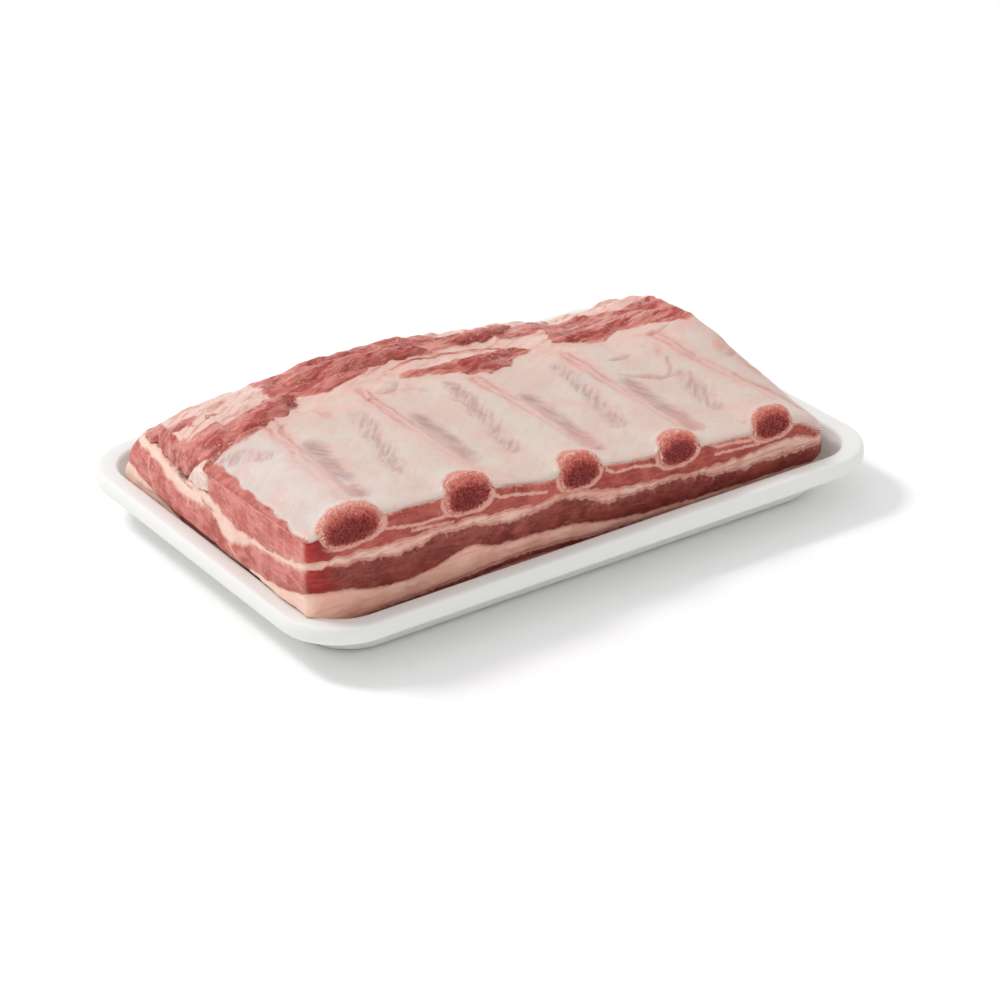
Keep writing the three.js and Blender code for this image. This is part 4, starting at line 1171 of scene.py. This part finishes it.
# Lean below the cover's cut edge, and the scraped tissue round the sawn rib ends.
drop = frayed(nodes, skirt, speckle(nodes, where, 1.3), 1.6)
colour = glaze(nodes, colour, "#B4584D", add(nodes, "MapRange", (drop, 0.75, 1.1), **SOFT))
scraped = frayed(nodes, ends, speckle(nodes, where, 1.1), 2.4)
colour = glaze(nodes, colour, "#D88A7C", add(nodes, "MapRange", (scraped, -0.8, 0.6), **SOFT), 0.85)
roughness = add(nodes, "Math", (speckle(nodes, where, 4.0), 0.3, 0.18), operation="MULTIPLY_ADD")
swell = add(nodes, "Math", (speckle(nodes, where, 2.4), 0.7), operation="MULTIPLY")
grain = add(nodes, "Math", (fibres, 0.35, flecks), operation="MULTIPLY_ADD")
grain = add(nodes, "Math", (is_lean, grain), operation="MULTIPLY")
height = add(nodes, "Math", (swell, grain), operation="ADD")
moist(nodes, shader, colour, roughness, height, 0.2, 1.2)
cover.data.materials.append(membrane)

# ---------------------------------------------------------------------------------------------
# Flank pieces at the left end: a pearly wedge of tissue, and behind it the rough end of the flank
# muscle, cut off bluntly with a rounded edge.
# ---------------------------------------------------------------------------------------------

FLANK_SIDES = 72
FLANK_ROWS = 90
# Start and end along Y of the two lumps, at the foot and at the top.
WEDGE_FOOT, WEDGE_TOP = (-1.0, 16.0), (1.0, 10.0)
CHUNK_FOOT, CHUNK_TOP = (13.2, 53.0), (6.0, 52.0)


def rounded_section(turns, squareness):
    """Unit section of a squarish oval: across and up from -1 to 1, anticlockwise from -Y."""
    power = 2 / squareness
    across = np.sign(np.cos(turns)) * np.abs(np.cos(turns)) ** power
    up = np.sign(np.sin(turns)) * np.abs(np.sin(turns)) ** power
    return across, up


def plain_marks(lean):
    """The marks that the cover's material reads, for a piece that has only lean and fat."""
    level = 0 * lean
    return {"lean": lean, "groove": 99 + level, "by_groove": level, "by_rib": level, "worn": level - 9,
            "ends": level - 9, "fold": level, "flush": level, "skirt": level}


def beside_rib(foot, top, squareness, roof, name, rough, seed, reach_in):
    """Closed lump between the left face and the first rib. Rows run from foot and top start to their
    ends along Y, and each ring is a squarish oval in X and Z with uneven swells."""
    turns = 2 * math.pi * np.arange(FLANK_SIDES) / FLANK_SIDES
    across, up = rounded_section(turns, squareness)
    rings = []
    for share in np.linspace(0, 1, FLANK_ROWS):
        swell = max(1 - abs(2 * share - 1) ** 10, 0.05) ** 0.35
        level = (1 + up * swell) / 2
        y = mix(mix(foot[0], top[0], level), mix(foot[1], top[1], level), share)
        depth = (y - FRONT) / DEPTH
        inner = left_of_first_rib(depth) + reach_in / LENGTH
        along = inner * (1 + across * swell) / 2
        low = rib_fat_top(0 * along, depth) - 0.3
        z = mix(low, roof(along, depth), level)
        rings.append(slab_point(along, depth, z))
    rings = np.stack(rings)
    x, y, z = np.moveaxis(rings, -1, 0)
    away = rings - rings.mean(axis=1, keepdims=True)
    away /= np.linalg.norm(away, axis=-1, keepdims=True)
    push = rough * (ripple(x, y, z, 8.0, seed) + 0.6 * ripple(x, y, z, 3.0, seed + 1))
    rings = rings + away * push[..., None]
    inside = inside_distance(x - SLAB_SHIFT + 1.2 * ripple(x, y, 0 * x, 7.0, seed + 2),
                             y + 1.2 * ripple(x, y, 0 * x, 6.0, seed + 3), LEAN_PATCHES[0])
    inside = np.where(away[..., 2] < 0.3, 9.0, inside)
    return closed_rings(name, rings, plain_marks(inside))


def chunk_roof(along, depth):
    """Top of the flank piece: the slab's top, a little raised behind its rounded edges."""
    return slab_top(along, depth) + 0.4


wedge = beside_rib(WEDGE_FOOT, WEDGE_TOP, 5.0, cover_underside, "tissue_wedge_piece", 0.2, 81, 2.0)
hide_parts("tissue_wedge")
chunk = beside_rib(CHUNK_FOOT, CHUNK_TOP, 3.6, chunk_roof, "flank_end_piece", 0.45, 83, 4.5)
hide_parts("flank_chunk")

# Connective tissue: silvery white and slightly pink, wet, with fine wrinkles.
tissue, nodes, shader, where = start_material("connective_tissue")
wrinkles = speckle(nodes, where, 1.2, (1.0, 2.5, 0.7), 0.0, 4.0, 0.8)
colour = glaze(nodes, "#D6B0A5", "#E8D3C8", add(nodes, "MapRange", (wrinkles, 0.3, 0.7), **SOFT))
roughness = add(nodes, "Math", (wrinkles, 0.2, 0.25), operation="MULTIPLY_ADD")
moist(nodes, shader, colour, roughness, wrinkles, 0.12, 1.0)
wedge.data.materials.append(tissue)

# The rough end is the same muscle and fat as the back of the cover, and goes on into it.
chunk.data.materials.append(membrane)

# ---------------------------------------------------------------------------------------------
# Flank strips: what is left of the flank muscle on top, long thin tongues that lie along the back
# with their edges sunk into the fat.
# ---------------------------------------------------------------------------------------------

STRIP_STEPS = 150
STRIP_ACROSS = 44
STRIP_SINK = 0.5
# Name: (height, path of (x, y, half width)).
STRIPS = {
    "flank_strip_left": (3.0, [(-86, 13, 5), (-80, 14, 7.5), (-70, 18.5, 7), (-62, 23, 4.8),
                               (-57.5, 23, 2.2)]),
    "flank_strip_back": (3.0, [(-60, 39, 5), (-52, 37, 8), (-38, 36, 8.5), (-22, 35, 7.5), (-10, 33, 5),
                               (-3, 32, 1.6)]),
    "flank_tongue": (2.6, [(-12, 15.5, 1.5), (-5, 15, 3.5), (3, 13.8, 6.5), (12, 15.5, 5.5), (20, 18, 3.2),
                           (27.5, 17.8, 1.2)]),
    "flank_roll": (3.0, [(6, 35, 2.2), (16, 38, 4.2), (27, 40, 4.6), (36, 42, 3.2)]),
    "flank_strip_right": (2.6, [(38, 20, 2.2), (46, 19, 4.8), (55, 21, 6.8), (67, 22.5, 6.8), (77, 21, 7),
                                (83, 17.5, 4.5)]),
}


def strip_piece(name, height, path, seed):
    """Closed lens along a smooth path: each ring goes over the crowned top and back under it. The
    edges wander and sink into the cover."""
    route = smooth_path(np.array(path, float), STRIP_STEPS // (len(path) - 1))
    run = np.gradient(route[:, :2], axis=0)
    run /= np.linalg.norm(run, axis=1, keepdims=True)
    share = np.linspace(0, 1, len(route))
    full = np.maximum(np.sin(math.pi * share), 0) ** 0.4
    over = np.linspace(1, -1, STRIP_ACROSS)
    side = np.concatenate([over, over[::-1][1:-1] * 0.98])
    upper = np.concatenate([np.ones(STRIP_ACROSS), np.zeros(STRIP_ACROSS - 2)])
    wander = ripple(route[:, 0], route[:, 1], 0 * share, 7.0, seed) * 0.9
    half = (route[:, 2] + wander) * np.maximum(full, 0.02)
    x = route[:, 0, None] - side * half[:, None] * run[:, 1, None]
    y = route[:, 1, None] + side * half[:, None] * run[:, 0, None]
    along, depth = (x - LEFT) / LENGTH, (y - FRONT) / DEPTH
    crown = np.maximum(1 - side ** 2, 0) ** 1.15 * full[:, None]
    rough = 0.35 * ripple(x, y, 0 * x, 6.0, seed + 1) + 0.2 * ripple(x, y, 0 * x, 2.4, seed + 2)
    z = slab_top(along, depth) - STRIP_SINK + upper * crown * (height + STRIP_SINK + rough)
    marks = plain_marks(6 - 3 * np.abs(side) + 0 * x)
    return closed_rings(name + "_piece", slab_point(along, depth, z), marks)


for number, (name, (height, path)) in enumerate(STRIPS.items()):
    piece = strip_piece(name, height, path, 91 + 7 * number)
    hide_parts(name)
    piece.data.materials.append(membrane)
